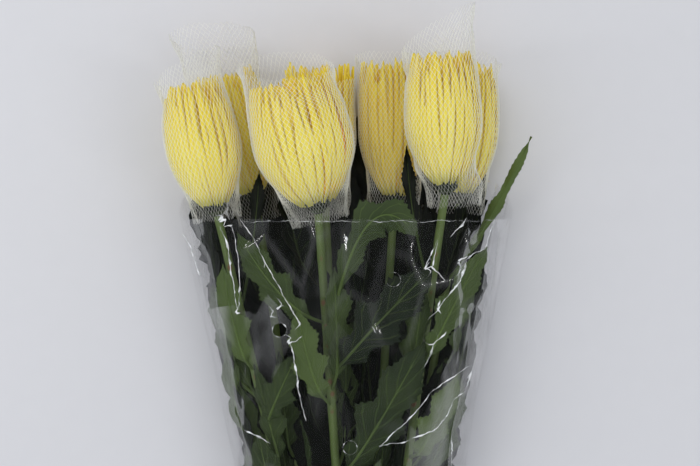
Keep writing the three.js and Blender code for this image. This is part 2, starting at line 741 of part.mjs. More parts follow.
function named(name, solid, material) {
  const mesh = new THREE.Mesh(geometryOf(solid), material);
  mesh.name = name;
  return mesh;
}

// The seven flowers, each with its leafy stem, and its petals and net in the head's frame.
function bunchOfFlowers() {
  const bunch = new THREE.Group();
  FLOWERS.forEach((flower, index) => {
    bunch.add(named(`leafy_stem_${flower.name}`, leafyStem(flower, 11 + index), leafGreen));
    const { frame } = headFrame(flower);
    frame.add(named(`petals_${flower.name}`, headPetals(flower, 41 + index), petalYellow));
    frame.add(named(`net_${flower.name}`, netTube(flower), netWhite));
    bunch.add(frame);
  });
  bunch.add(named("film_sleeve", filmSleeve(), clearFilm));
  bunch.add(named("elastic_band", elasticBand(), bandRubber));
  return bunch;
}

const chrysanthemums = bunchOfFlowers();
const box = new THREE.Box3().setFromObject(chrysanthemums, true);
chrysanthemums.position.set(-(box.min.x + box.max.x) / 2, -(box.min.y + box.max.y) / 2, -box.min.z);

export default chrysanthemums;
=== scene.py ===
"""A sleeved bunch of seven netted disbud chrysanthemums, dressed around its CAD model.

Lengths in the constants and tables are millimetres, in the bunch's own frame: +Y runs from the
cut ends to the heads, +X to the right seen from above, +Z up. in_row() turns them into metres.
Shares run from 0 to 1, and so do u along a petal or a leaf, v along a net or the film, and t
up a head. Grids are numbers of faces, across or round and then along.
"""

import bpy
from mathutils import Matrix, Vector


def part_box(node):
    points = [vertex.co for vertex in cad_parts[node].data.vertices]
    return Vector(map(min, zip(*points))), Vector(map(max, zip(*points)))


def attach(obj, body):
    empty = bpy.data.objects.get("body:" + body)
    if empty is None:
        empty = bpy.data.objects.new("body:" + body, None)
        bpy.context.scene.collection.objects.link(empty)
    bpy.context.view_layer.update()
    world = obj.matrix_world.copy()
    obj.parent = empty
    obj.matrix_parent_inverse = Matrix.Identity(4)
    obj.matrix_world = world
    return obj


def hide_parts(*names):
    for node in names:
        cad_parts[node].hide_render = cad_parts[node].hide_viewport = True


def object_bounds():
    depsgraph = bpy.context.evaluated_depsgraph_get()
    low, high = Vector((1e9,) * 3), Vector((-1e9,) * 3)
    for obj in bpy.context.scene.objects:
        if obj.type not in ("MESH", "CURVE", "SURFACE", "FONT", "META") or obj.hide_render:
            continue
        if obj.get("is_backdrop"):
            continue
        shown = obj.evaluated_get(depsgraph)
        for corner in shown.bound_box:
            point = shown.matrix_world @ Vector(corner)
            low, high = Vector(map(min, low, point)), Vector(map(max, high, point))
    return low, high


bl_info = {
    "name": "Netted Chrysanthemum Bunch",
    "version": (1, 0, 0),
    "blender": (4, 5, 0),
    "location": "3D View > Sidebar > Flowers",
    "description": "Petals, nets, leafy stems, film sleeve and band of a bunch of chrysanthemums",
    "category": "Object",
}

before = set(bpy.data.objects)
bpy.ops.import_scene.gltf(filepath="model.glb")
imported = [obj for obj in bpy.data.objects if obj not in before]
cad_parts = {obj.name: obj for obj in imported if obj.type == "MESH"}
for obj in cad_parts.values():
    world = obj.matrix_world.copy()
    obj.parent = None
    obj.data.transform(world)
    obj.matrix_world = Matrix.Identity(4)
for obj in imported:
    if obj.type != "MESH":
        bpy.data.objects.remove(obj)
CAD_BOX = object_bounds()

import math

import bmesh
import bpy
from mathutils import Matrix, Vector, noise

MM = 0.001

# How near two vertices lie to be one: in a tube of radius 1, and in a piece, in metres.
TUBE_SEAM = 1e-5
PIECE_SEAM = 1e-6

# Edges that turn more than this, in radians, are shaded as corners.
CORNER_ANGLE = 1.0

# The band's middle in the bunch's frame, from which the frame's place in the row is found.
BAND_MIDDLE = Vector((5.0, 46.0, 0.0))

# The photograph's camera, square above the bunch: its place in mm and its focal length in
# pixels of a picture 700 wide and 466 high.
CAMERA_PLACE = Vector((0.0, 566.4, 1150.0))
FOCAL_PIXELS = 1366.0
PICTURE_SIZE = (700, 466)
SENSOR_WIDTH = 36.0

# Film sleeve. Film above FRONT_FILM_Z is its front, where the vent holes are.
SLEEVE_FOOT = 77.0
SLEEVE_MOUTH = 577.0
SLEEVE_BACK_RISE = 36.0
OPEN_FROM = 0.7
FOOT_HALF_WIDTH = 37.0
MOUTH_HALF_WIDTH = 132.0
FOOT_HEIGHT = 36.0
MOUTH_HEIGHT = 122.0
FOOT_CENTRE_X = 5.0
MOUTH_CENTRE_X = -3.0
SLEEVE_SQUARENESS = 2.6
SLEEVE_LOW_SHARE = 0.46
SLEEVE_SIDES = 24
FILM_WALL = 0.8
FILM_IOR = 1.49
FILM_GRID = (168, 150)
LEAST_FILM_INSET = 0.2
FRONT_FILM_Z = 30.0
VENTS = [
    (-54, 492), (62, 486), (0, 400), (33, 531), (-60, 330), (48, 318), (-4, 250), (20, 160),
]
VENT_CUTS = 4
VENT_LIP = 0.03
VENT_LIP_SWELL = 1.1
BROAD_FLUTES = 1.8
NARROW_FLUTES = 1.5
SOFT_CREASES = 0.9
FOLD_WANDER = 1.4
FOLD_JITTER = 0.7
FOLD_RISE = 0.16
FOLD_STEP = 1.6
FOLD_SIDES = 5
VENT_RIM_STEPS = 40

# Stems and the bundle at their cut ends
STEM_RADIUS_FOOT = 4.0
STEM_RADIUS_HEAD = 3.5
STEM_GRID = (18, 120)
STEM_RIBS = 6
RIB_DEPTH = 0.05
STEM_UNEVENNESS = 0.12
STEM_SEAT = 3.0
BUNDLE_PITCH = 8.6
BUNDLE_ROW_RISE = 7.45
BUNDLE_LOWER_Z = 5.6
BUNDLE_TOP = 90.0
STEM_BOW = 0.86
NODE_SWELL = 0.55
NODE_LENGTH = 4.5
SCAR_RADIUS = 2.6

# Heads
CALYX_RADIUS = 8.0
CALYX_HEIGHT = 6.0
CALYX_GRID = (24, 10)
# How light a green the cup under a head is: below 0, darkened as painted shade under the head.
CALYX_SHADED_GREEN = -0.2
SCALE_GRID = (4, 5)
SCALE_HALF_ANGLE = 0.34
SCALE_OFF = 0.5
SCALE_ROW_OFF = 0.3
SCALE_THICKNESS = 0.4
SEAT_GAP = 0.3
TIP_NARROWING = 0.16
WIDEST_AT = 0.5
BASE_SHARE = 0.4
CORE_DEPTH = 5.6
CORE_TOP = 0.86
CORE_GRID = (24, 10)

# Petals: how one strap waves, hoods over at its tip, is notched there and crinkles
TIP_CROWDING = 1.4
PETAL_COLUMNS = 4
PETAL_WAVE = 5.0
PETAL_SWAY = 0.04
PETAL_TURN_SPREAD = 0.6
LEAST_GIRTH = 6.0
HOOD_FROM = 0.8
NOTCH_FROM = 0.93
FOOT_SINK = 2.4
CRINKLE = 0.35
CRINKLE_WAVE = 23
USUAL_HALF_WIDTH = 28

# Nets: how they follow their heads, gather, flare, slant and waver
NET_LINE = 0.75
NET_LOOSE_SHARE = 0.8
NET_GATHER = 0.45
NET_FLARE = 0.5
NET_FLARE_FROM = 0.9
NET_SLANT_FROM = 0.7
NET_SLANT_SPAN = 0.4
NET_LOWEST_Z = 0.3
NET_TWIST = 0.05
NET_LIFT = 2.2
NET_WAVER = 1.6
NET_DRAWN_RUN = 10

# Leaves: how a blade is shaped, the room it has, and where leaves grow
LEAF_CUP = 0.12
LEAF_DROOP = 0.1
LEAF_SPRING = 2.2
LEAF_NESTING = 0.055
LEAF_THICKNESS = 0.5
LEAF_GRID = (8, 48)
INNER_LEAF_GRID = (4, 24)
TOOTH_DEPTH = 0.13
FRILL = 1.6
FRILL_WAVE = 23
MIDRIB_GROOVE = -0.5
GROOVE_WIDTH = 0.2
QUILT = 0.25
VEIN_WAVE = 52.0
VEIN_SLANT = 9.0
STALK_SHARE = 0.17
STALK_SEAT = 1.2
STALK_GRID = (6, 18)
STALK_RADIUS = 1.35
MIDRIB_RADIUS = 0.25
MIDRIB_SUNK = 0.35
MIDRIB_FRESHER = 0.35
MIDRIB_END = 0.9
LEAF_SPACING = 58.0
LEAVES_PER_STEM = 4
LEAF_TURN = 137.5
FIRST_LEAF_Y = 262.0
CELL_GAP = 1.5
FILM_GAP = 2.4
FRONT_FILM_GAP = 13.0
FRONT_SLOPE = 0.3
LAYER_RUN = 0.3
CELL_FIRMNESS = 6
INNER_LEAF_MARGIN = 5.0
INNER_FIRST_TIP = 190.0
INNER_LAST_TIP = 612.0

# Elastic band
BAND_Y = 46.0
BAND_GRID = (12, 96)
BAND_SQUARENESS = 0.6

# Seeds of the random draws, and the step from one flower's net to the next
HEAD_SEED = 141
NET_SEED = 5
NET_SEED_STEP = 3
FOLIAGE_SEED = 11
INNER_LEAF_SEED = 50

# The flowers. base and top are the ends of a head's axis, and width and depth are half its size
# across. slot is its stem's place along and up in the two rows at the cut ends. The net runs
# net_top past the head's tip and net_tail below its base. net_foot is half the net's width at
# its lower end, net_tilt how far its rim slants towards +X and +Z, and net_sway how far its
# lower end hangs aside. leaf_turn is the angle at which the spiral of leaves starts, narrowing
# how far the head narrows to its tip, and shade how much painted shade deepens its yellow.
FLOWERS = {
    "upper_left": dict(
        base=(-105, 586, 83), top=(-123, 680, 91), slot=(-1, 1), width=29, depth=28,
        net_top=16, net_tilt=(10, 4), net_foot=17, net_tail=9, leaf_turn=150,
        narrowing=0.24,
    ),
    "upper_middle": dict(
        base=(-25, 588, 90), top=(-47, 683, 104), slot=(0, 1), width=38.5, depth=33,
        net_top=12, net_tilt=(-7, -10), net_foot=21, net_tail=13, leaf_turn=20,
    ),
    "upper_right": dict(
        base=(75, 603, 84), top=(70, 704, 92), slot=(1, 1), width=29.5, depth=28,
        net_top=22, net_tilt=(16, 5), net_foot=20, net_tail=16, leaf_turn=60, net_sway=6,
    ),
    "lower_left": dict(
        base=(-78.5, 598, 27), top=(-104.5, 695, 32), slot=(-1.5, 0), width=27.6, depth=27.6,
        net_top=34, net_tilt=(-6, 8), net_foot=18, net_tail=22, leaf_turn=200,
        narrowing=0.0,
    ),
    "lower_mid_left": dict(
        base=(-20.5, 594, 28), top=(-26, 702, 32), slot=(-0.5, 0), width=27.6, depth=27.6,
        net_top=-12, net_tilt=(3, -4), net_foot=18, net_tail=14, leaf_turn=310,
        narrowing=-0.12,
    ),
    "lower_mid_right": dict(
        base=(36.5, 595, 28), top=(34, 704, 32), slot=(0.5, 0), width=27.6, depth=27.6,
        net_top=4, net_tilt=(-3, 4), net_foot=20, net_tail=16, leaf_turn=250,
        # This head lies in shade: its petals take more painted shade.
        narrowing=0.0, shade=0.3,
    ),
    "lower_right": dict(
        base=(91, 597, 28), top=(96, 702, 32), slot=(1.5, 0), width=27.6, depth=27.6,
        net_top=10, net_tilt=(-6, 4), net_foot=18, net_tail=15, leaf_turn=330,
    ),
}

# Rings of petals from the outside in: how many, the ring's share of the outline, how deep it
# lies, where its petals start and end along the head, how much painted shade turns their yellow
# gold, and half their width.
PETAL_RINGS = [
    dict(count=18, share=1.0, inset=0.0, start=0.01, end=(0.45, 0.92), deep=0.0, half=2.2),
    dict(count=42, share=1.0, inset=0.5, start=0.01, end=(0.84, 1.04), deep=0.0, half=2.55),
    dict(count=38, share=1.0, inset=2.3, start=0.03, end=(0.86, 1.03), deep=0.25, half=2.6),
    dict(count=24, share=1.0, inset=4.2, start=0.3, end=(0.9, 1.02), deep=0.7, half=2.8),
    dict(count=20, share=0.74, inset=0.0, start=0.62, end=(0.9, 1.04), deep=0.35, half=3.1),
    dict(count=13, share=0.48, inset=0.0, start=0.66, end=(0.92, 1.02), deep=0.5, half=3.1),
    dict(count=6, share=0.24, inset=0.0, start=0.7, end=(0.9, 1.0), deep=0.6, half=2.4),
]

# How petals of the outer rings and of those in the head's top are shaped: rows of faces, how
# far they lean aside, cup and lap over the next one, and how far their feet sink in.
OUTER_RINGS = 4
OUTER_PETAL = dict(rows=12, drift=0.2, curl=1.0, lap=0.55, sink=1.0)
TOP_PETAL = dict(rows=7, drift=0.5, curl=-0.8, lap=0.2, sink=0.0)

# Rows of scales on the cup under a head: how many, and where they start and end along it.
CALYX_SCALES = [(11, -6.5, -2.0), (13, -4.5, 1.0), (15, -2.5, 3.5)]

# Leaves by rule in each row of stems, lower and upper, painted dark as the shade inside the
# bunch: how many spiral round a stem, and how many lie behind it.
INNER_LEAVES = ((10, 28), (14, 0))


def chosen(stem, y, via, tip, width, fresh, **lie):
    """A leaf with a place of its own. lie is its layer behind the film, or its fold."""
    return dict(stem=stem, y=y, via=via, tip=tip, width=width, fresh=fresh, **lie)


# Leaves that the spiral rule doesn't place: stem, height of the root, the midrib's via point
# and tip, half the blade's width, and how light a green it is, where below 0 is painted shade.
# layer is how deep the leaf lies behind the film, and fold how far its edges fold behind the
# midrib.
CHOSEN_LEAVES = [
    chosen("upper_middle", 478, (8, 622), (52, 563), 19, 0.25, layer=3),
    chosen("upper_middle", 452, (8, 486), (64, 540), 25, -0.1, layer=6.5),
    chosen("upper_middle", 428, (-32, 452), (-40, 508), 17, 0.65, layer=3),
    chosen("upper_middle", 495, (-54, 508), (-86, 566), 17, 0.3, layer=6.5),
    chosen("upper_middle", 368, (14, 398), (58, 482), 25, 0.1, layer=10),
    chosen("upper_middle", 300, (4, 330), (24, 390), 19, 0.3, layer=3),
    chosen("upper_left", 455, (-90, 478), (-99, 542), 15, 0.7, layer=7),
    chosen("upper_left", 412, (-62, 430), (-40, 474), 16, 0.2, layer=10),
    chosen("upper_left", 325, (-62, 350), (-72, 410), 17, 0.2, layer=3),
    chosen("upper_right", 455, (70, 496), (106, 556), 16, 0.5, layer=5),
    chosen("upper_right", 385, (60, 398), (84, 456), 16, 0.8, layer=3),
    chosen("upper_right", 300, (44, 322), (58, 380), 17, 0.3, layer=3),
    chosen("upper_right", 520, (48, 572, 60), (45, 636, 62), 8, -0.5, fold=0),
    chosen("upper_left", 505, (-74, 560, 70), (-72, 616, 68), 9, -0.5, fold=2),
    chosen("lower_right", 525, (112, 570, 48), (146, 644, 52), 6.5, 1.0, fold=4),
]

# Leaves that fill the mouth between the heads and the film's sides, most painted dark as
# shade: stem, height of the root, tip, half the blade's width, and how light a green as above.
FILLING_LEAVES = [
    ("lower_left", 520, (-100, 606, 16), 17, -0.7),
    ("lower_left", 545, (-62, 634, 12), 18, -0.8),
    ("lower_left", 530, (-44, 622, 24), 16, -0.8),
    ("lower_mid_left", 545, (-50, 640, 14), 17, -0.8),
    ("lower_mid_left", 560, (6, 664, 12), 17, -0.8),
    ("lower_mid_left", 520, (0, 620, 22), 18, -0.8),
    ("lower_mid_right", 560, (10, 652, 16), 16, -0.8),
    ("lower_mid_right", 560, (60, 664, 14), 17, -0.8),
    ("lower_mid_right", 520, (52, 622, 22), 18, -0.8),
    ("lower_right", 550, (64, 646, 18), 17, -0.8),
    ("lower_right", 530, (74, 616, 26), 16, -0.7),
    ("lower_right", 525, (110, 616, 20), 18, -0.7),
    ("lower_mid_right", 470, (62, 592, 34), 20, -0.8),
    ("lower_left", 500, (-124, 600, 60), 18, -0.6),
    ("lower_left", 470, (-114, 584, 54), 20, -0.7),
    ("upper_left", 430, (-108, 530, 60), 14, 0.3),
    ("upper_left", 370, (-98, 478, 56), 15, 0.4),
    ("lower_left", 410, (-110, 536, 44), 22, -0.7),
    ("lower_left", 370, (-104, 490, 40), 20, -0.7),
    ("lower_left", 320, (-90, 446, 36), 20, -0.5),
    ("upper_left", 300, (-80, 402, 46), 16, 0.3),
    ("lower_left", 250, (-76, 368, 32), 20, -0.5),
    ("lower_right", 440, (104, 552, 44), 18, -0.5),
    ("lower_right", 380, (96, 496, 42), 18, -0.3),
    ("upper_right", 340, (88, 454, 50), 16, 0.3),
    ("lower_right", 310, (82, 426, 38), 19, -0.4),
    ("lower_right", 250, (74, 366, 34), 19, -0.4),
]
FILLING_FOLD = 4

# Half the width of a lobed leaf along its midrib, as a share of the widest, and how far its
# edge runs ahead of the midrib: along, half, slant.
LEAF_EDGE = [
    (0, 0.06, 0), (0.17, 0.08, 0), (0.27, 0.58, 0.05), (0.39, 0.4, 0.02), (0.5, 1, 0.08),
    (0.63, 0.5, 0.03), (0.73, 0.78, 0.07), (0.86, 0.44, 0.03), (1, 0.04, 0),
]

# Folds in the film's front, whitened creases that are also painted highlights, each a line
# through points of the picture, in pixels, with its width in mm.
FILM_FOLDS = [
    (0.4, [(238, 221), (300, 221.5), (360, 221)]),
    (0.4, [(366, 221), (420, 221.5), (498, 220.5)]),
    (1.3, [(220, 226), (227, 247), (234, 290), (238, 310)]),
    (1.6, [(216, 214), (222, 216), (219, 221), (226, 219), (224, 226), (232, 224)]),
    (1.2, [(262, 256), (266, 262), (264, 268)]),
    (1.4, [(276, 297), (281, 304), (277, 309), (284, 306)]),
    (1.1, [(270, 305), (274, 311), (270, 317), (277, 318)]),
    (1.3, [(286, 334), (291, 338), (288, 343), (296, 341), (302, 336)]),
    (1.2, [(238, 308), (236, 313), (240, 312)]),
    (1.5, [(190, 250), (196, 262), (200, 276)]),
    (1.0, [(181, 232), (187, 240), (196, 262)]),
    (1.6, [(244, 430), (256, 436), (270, 444)]),
    (1.4, [(430, 262), (426, 268), (431, 271), (428, 276)]),
    (1.2, [(440, 300), (436, 309), (441, 314)]),
    (1.5, [(456, 276), (462, 268), (459, 262), (468, 256)]),
    (1.3, [(345, 236), (347, 248)]),
    (1.2, [(373, 326), (377, 333)]),
    (1.0, [(232, 226), (237, 253), (240, 290), (239, 310)]),
    (1.2, [(238, 213), (263, 258), (285, 299), (300, 324), (294, 331)]),
    (1.1, [(289, 339), (294, 362), (300, 401), (306, 421)]),
    (1.2, [(467, 218), (451, 238)]),
    (1.4, [(438, 240), (425, 269), (433, 266), (438, 240)]),
    (2.2, [(431, 267), (437, 272), (446, 281)]),
    (1.3, [(496, 217), (485, 248), (467, 259), (461, 281), (442, 304), (428, 320)]),
    (1.1, [(446, 331), (433, 345), (424, 368)]),
    (1.2, [(469, 366), (431, 392), (414, 414), (379, 446)]),
    (1.3, [(379, 447), (410, 440), (435, 429), (447, 417), (454, 401), (466, 392)]),
    (1.0, [(466, 391), (476, 359)]),
    (1.0, [(453, 436), (451, 466)]),
]

# Brown scars and nodes on the stems, besides those where leaves grow: stem, height, and the
# angle round the stem, where 90 degrees faces up.
STEM_SCARS = [
    ("upper_middle", 511, 110), ("upper_middle", 470, 75), ("upper_right", 505, 80),
    ("upper_middle", 548, 95), ("upper_right", 548, 100), ("upper_left", 540, 90),
]

# Second colours of the finishes, as a screen shows them
PETAL_FOOT = (196, 200, 96)
# Painted shade: the gold in the depth between the petals.
CORE_DEEP = (190, 144, 20)
# The receptacle's green at the core's foot, darkened as painted shade.
CORE_FOOT = (44, 58, 28)
# Painted glow in the depth between the petals, standing for light through them.
CORE_PAINTED_GLOW = (150, 112, 6)
NET_SHADE = (216, 218, 210)
LEAF_VEIN = (88, 108, 56)
STEM_STREAK = (92, 109, 53)
STEM_GROOVE = (70, 90, 42)
SCAR_BROWN = (104, 74, 44)
# Whitened creases, and painted highlights on them and on the vent lips.
FOLD_WHITE_HIGHLIGHT = (246, 248, 250)
BAND_BLOOM = (206, 176, 128)
FLOOR_SHADE = (202, 202, 206)
BLACK = (0, 0, 0)
CLEAR = (1, 1, 1, 1)

# Studio: half the floor's size in metres, and the area lights, each with its place and size in
# mm, the setting that holds its power, and its colour.
FLOOR_HALF = 6
SKY_COLOUR = (0.93, 0.96, 1.0, 1)
LIGHT_TARGET = (0, 520, 60)
LIGHTS = [
    ("softbox", (-350, 1450, 1350), (900, 900), "softbox_power", (1.0, 0.98, 0.95)),
    ("strip_left", (-900, 500, 900), (60, 900), "strip_power", (1, 1, 1)),
    ("strip_right", (700, 300, 1200), (60, 700), "strip_power", (1, 1, 1)),
]


def mix(a, b, t):
    """The value at share t of the way from a to b."""
    return a + (b - a) * t


def clamp01(t):
    """A number kept between 0 and 1."""
    return min(1.0, max(0.0, t))


def smooth(t):
    """0 up to 0, 1 from 1 on, and a smooth step between them."""
    t = clamp01(t)
    return t * t * (3 - 2 * t)


def signed_power(value, power):
    """A power of a number's size, with the number's own sign."""
    return math.copysign(abs(value) ** power, value)


def seeded_draw(seed):
    """Draws numbers from 0 to 1, the same ones in the same order for the same seed."""
    mask = 0xFFFFFFFF
    state = seed & mask

    def draw():
        nonlocal state
        state = (state + 0x6D2B79F5) & mask
        t = ((state ^ (state >> 15)) * (1 | state)) & mask
        t = ((t + (((t ^ (t >> 7)) * (61 | t)) & mask)) & mask) ^ t
        return (t ^ (t >> 14)) / (mask + 1)

    return draw


def frame_shift():
    """How far the bunch's frame lies from the row's frame, in mm."""
    low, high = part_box("elastic_band")
    shift = (low + high) / 2 / MM - BAND_MIDDLE
    return Vector((shift.x, shift.y, 0.0))


SHIFT = frame_shift()


def in_row(point):
    """A point of the bunch, in mm, as a point of the row's frame, in metres."""
    return (point + SHIFT) * MM


# The film, the stems and the leaves have the same rules as their solids.


def sleeve_section(y):
    """Half the sleeve's width at height y, its height above the surface, and its middle."""
    t = (y - SLEEVE_FOOT) / (SLEEVE_MOUTH - SLEEVE_FOOT)
    half_width = mix(FOOT_HALF_WIDTH, MOUTH_HALF_WIDTH, t)
    return half_width, mix(FOOT_HEIGHT, MOUTH_HEIGHT, t), mix(FOOT_CENTRE_X, MOUTH_CENTRE_X, t)


def sleeve_point(y, angle, inset):
    """A point of the film's section at height y, flat where it lies on the surface."""
    half_width, height, centre_x = sleeve_section(y)
    power = 2 / SLEEVE_SQUARENESS
    low = height * SLEEVE_LOW_SHARE
    x = signed_power(math.cos(angle), power) * (half_width - inset)
    z = low + signed_power(math.sin(angle), power) * (height - low - inset)
    return Vector((centre_x + x, y, max(inset, z)))


def film_front(x, y):
    """The height of the film's front over a point of the surface."""
    half_width, height, centre_x = sleeve_section(y)
    share = min(1.0, abs(x - centre_x) / half_width)
    crown = (1 - share**SLEEVE_SQUARENESS) ** (1 / SLEEVE_SQUARENESS)
    return height * mix(SLEEVE_LOW_SHARE, 1, crown)


def kept_inside(point, margin):
    """Draws a point in towards the sleeve's middle line, so that it stays inside the film."""
    half_width, height, centre_x = sleeve_section(min(point.y, SLEEVE_MOUTH))
    low = height * SLEEVE_LOW_SHARE
    tall = low if point.z < low else height - low
    across = abs(point.x - centre_x) / (half_width - margin)
    up = abs(point.z - low) / (tall - margin)
    reach = (across**SLEEVE_SQUARENESS + up**SLEEVE_SQUARENESS) ** (1 / SLEEVE_SQUARENESS)
    if reach <= 1:
        return point
    x = centre_x + (point.x - centre_x) / reach
    return Vector((x, point.y, low + (point.z - low) / reach))


def stem_point(flower, y):
    """The middle of a stem at height y."""
    along, row = flower["slot"]
    base = flower["base"]
    t = clamp01((y - BUNDLE_TOP) / (base[1] - BUNDLE_TOP))
    share = t * mix(STEM_BOW, 1, t)
    x = mix(FOOT_CENTRE_X + along * BUNDLE_PITCH, base[0], share)
    z = mix(BUNDLE_LOWER_Z + row * BUNDLE_ROW_RISE, base[2], share)
    return Vector((x, y, z))


def stem_radius(flower, y):
    """A stem's radius at height y."""
    return mix(STEM_RADIUS_FOOT, STEM_RADIUS_HEAD, clamp01(y / flower["base"][1]))


class StemRoom:
    """The room that a stem's leaves have: up to the film, and halfway to each other stem."""

    def __init__(self, flower):
        self.flower = flower
        self.known = {}

    def planes(self, y):
        """The planes that bound the room at height y, found once for each half millimetre."""
        key = round(y * 2)
        if key not in self.known:
            self.known[key] = list(self.bounding(key / 2))
        return self.known[key]

    def bounding(self, y):
        """Each plane's direction from the stem, x and z, and its distance."""
        own = stem_point(self.flower, y)
        for other in FLOWERS.values():
            if other is self.flower:
                continue
            their = stem_point(other, y)
            apart = math.hypot(their.x - own.x, their.z - own.z)
            yield (their.x - own.x) / apart, (their.z - own.z) / apart, apart / 2 - CELL_GAP
        opening = max(0.0, y - SLEEVE_MOUTH - OPEN_FROM * SLEEVE_BACK_RISE)
        for i in range(SLEEVE_SIDES):
            a = sleeve_point(y, math.tau * i / SLEEVE_SIDES, FILM_WALL)
            b = sleeve_point(y, math.tau * (i + 1) / SLEEVE_SIDES, FILM_WALL)
            length = math.hypot(b.x - a.x, b.z - a.z)
            if length < 1e-6:
                continue
            nx = (b.z - a.z) / length
            nz = -(b.x - a.x) / length
            gap = FRONT_FILM_GAP if nz > FRONT_SLOPE else FILM_GAP
            yield nx, nz, (a.x - own.x) * nx + (a.z - own.z) * nz - gap + opening

    def pressed_in(self, point, hug):
        """Draws a point in towards the stem, so that it stays inside share hug of the room."""
        own = stem_point(self.flower, point.y)
        dx = point.x - own.x
        dz = point.z - own.z
        crowding = 1.0
        for nx, nz, distance in self.planes(point.y):
            share = max(0.0, dx * nx + dz * nz) / max(1.0, distance * hug)
            crowding += share**CELL_FIRMNESS
        scale = crowding ** (-1 / CELL_FIRMNESS)
        return Vector((own.x + dx * scale, point.y, own.z + dz * scale))


def leaf_outline(leaf, u, side):
    """Its place along the midrib and half its width at share u of a leaf, with rounded lobes."""
    place = u * (len(LEAF_EDGE) - 1)
    index = min(len(LEAF_EDGE) - 2, int(place))
    start = LEAF_EDGE[index]
    end = LEAF_EDGE[index + 1]
    part = place - index
    eased = mix(part, smooth(part), 0.7)
    run = mix(start[0], end[0], part) + mix(start[2], end[2], part) * abs(side)
    return run, mix(start[1], end[1], eased) * leaf["width"]


def spiral_leaf_point(room, leaf, u, side):
    """A point of a leaf that runs up its stem and away from it."""
    run, half = leaf_outline(leaf, u, side)
    flower = room.flower
    reached = 1 - (1 - min(1.0, run)) ** LEAF_SPRING
    off = stem_radius(flower, leaf["y"]) - STALK_SEAT + leaf["reach"] * reached
    lean = math.radians(leaf["lean"])
    tilt = math.atan2(lean * leaf["reach"], leaf["length"])
    rise = leaf["length"] * (run - LEAF_DROOP * math.sin(math.pi * run))
    y = leaf["y"] + rise - side * half * math.sin(tilt)
    cup = LEAF_CUP * half * side * side
    spread = side * half * math.cos(tilt) / (off + 6 * smooth(run / STALK_SHARE))
    angle = math.radians(leaf["azimuth"]) + lean * run + spread
    own = stem_point(flower, y)
    x = own.x + math.cos(angle) * (off - cup)
    z = own.z + math.sin(angle) * (off - cup)
    return room.pressed_in(Vector((x, y, z)), leaf["hug"])


def chosen_leaf_point(room, leaf, u, side):
    """A point of a leaf whose midrib is an arc from its stem, past via, to its tip."""
    run, half = leaf_outline(leaf, u, side)
    start = stem_point(room.flower, leaf["y"])
    via, tip = (Vector((*leaf[key], start.z)[:3]) for key in ("via", "tip"))
    point = start * (1 - run) ** 2 + via * (2 * run * (1 - run)) + tip * run**2
    tangent = (via - start) * (1 - run) + (tip - via) * run
    across = Vector((tangent.y, -tangent.x, 0)).normalized()
    point += across * (side * half)
    if "layer" not in leaf:
        point.z -= leaf["fold"] * abs(side) * half / leaf["width"]
        return point
    lain = film_front(point.x, point.y) - leaf["layer"]
    point.z = mix(start.z, lain, smooth(run / LAYER_RUN)) - 0.2 * half * side * side
    return point


def leaves_of(name, seed):
    """The leaves of one stem: a spiral up the stem by rule, then its chosen ones."""
    draw = seeded_draw(seed)
    leaves = []
    for i in range(LEAVES_PER_STEM):
        leaves.append(
            dict(
                y=FIRST_LEAF_Y + i * LEAF_SPACING + (draw() - 0.5) * 12,
                azimuth=FLOWERS[name]["leaf_turn"] + i * LEAF_TURN + (draw() - 0.5) * 24,
                lean=(draw() - 0.5) * 50,
                hug=1 - LEAF_NESTING * i,
                length=mix(84, 100, draw()),
                width=mix(22, 28, draw()),
                reach=mix(22, 38, draw()),
                fresh=0.02 + 0.1 * i,
            )
        )
    return leaves + [leaf for leaf in CHOSEN_LEAVES if leaf["stem"] == name]


def inner_spiral(count, draw):
    """Leaves that spiral up a stem by rule, painted dark as the shade inside the bunch."""
    for i in range(count):
        length = mix(76, 108, draw())
        yield dict(
            y=mix(INNER_FIRST_TIP, INNER_LAST_TIP, (i + draw()) / count) - length,
            azimuth=195 + 150 * draw(),
            lean=(draw() - 0.5) * 70,
            hug=mix(0.75, 1.0, draw()),
            length=length,
            width=mix(26, 36, draw()),
            reach=mix(20, 60, draw()),
            fresh=mix(-0.7, -0.1, draw()),
        )


def leaves_behind(flower, count, draw):
    """Leaves by rule that lie low behind a stem, painted dark as shade."""
    for i in range(count):
        y = mix(INNER_FIRST_TIP, INNER_LAST_TIP + 20, ((i + draw()) / count) ** 0.75)
        half_width, _, centre_x = sleeve_section(min(y, SLEEVE_MOUTH))
        room = half_width - 12
        aside = (draw() - 0.5) * 76
        tip_x = max(centre_x - room, min(centre_x + room, stem_point(flower, y).x + aside))
        root_y = y - mix(84, 112, draw())
        root_x = stem_point(flower, root_y).x
        depth = mix(7, 26, draw())
        yield dict(
            y=root_y,
            via=(mix(root_x, tip_x, 0.7), mix(root_y, y, 0.45), depth),
            tip=(tip_x, y, depth + 4 * draw()),
            width=mix(22, 32, draw()),
            fold=6 * draw(),
            fresh=mix(-0.9, -0.4, draw()),
        )


def filling_leaves(name):
    """The leaves of one stem that fill the mouth and the film's sides, most painted dark as
    shade.
    """
    for stem, root_y, tip, width, fresh in FILLING_LEAVES:
        if stem == name:
            root = stem_point(FLOWERS[name], root_y)
            via = (mix(root.x, tip[0], 0.8), mix(root_y, tip[1], 0.4), mix(root.z, tip[2], 0.7))
            yield dict(y=root_y, via=via, tip=tip, width=width, fold=FILLING_FOLD, fresh=fresh)


def inner_leaves_of(name, seed):
    """The leaves that crowd round one stem, inside the bunch, painted dark as its shade."""
    flower = FLOWERS[name]
    draw = seeded_draw(seed)
    inner, behind = INNER_LEAVES[flower["slot"][1]]
    leaves = [*inner_spiral(inner, draw), *leaves_behind(flower, behind, draw)]
    return [dict(leaf, inner=True) for leaf in (*leaves, *filling_leaves(name))]


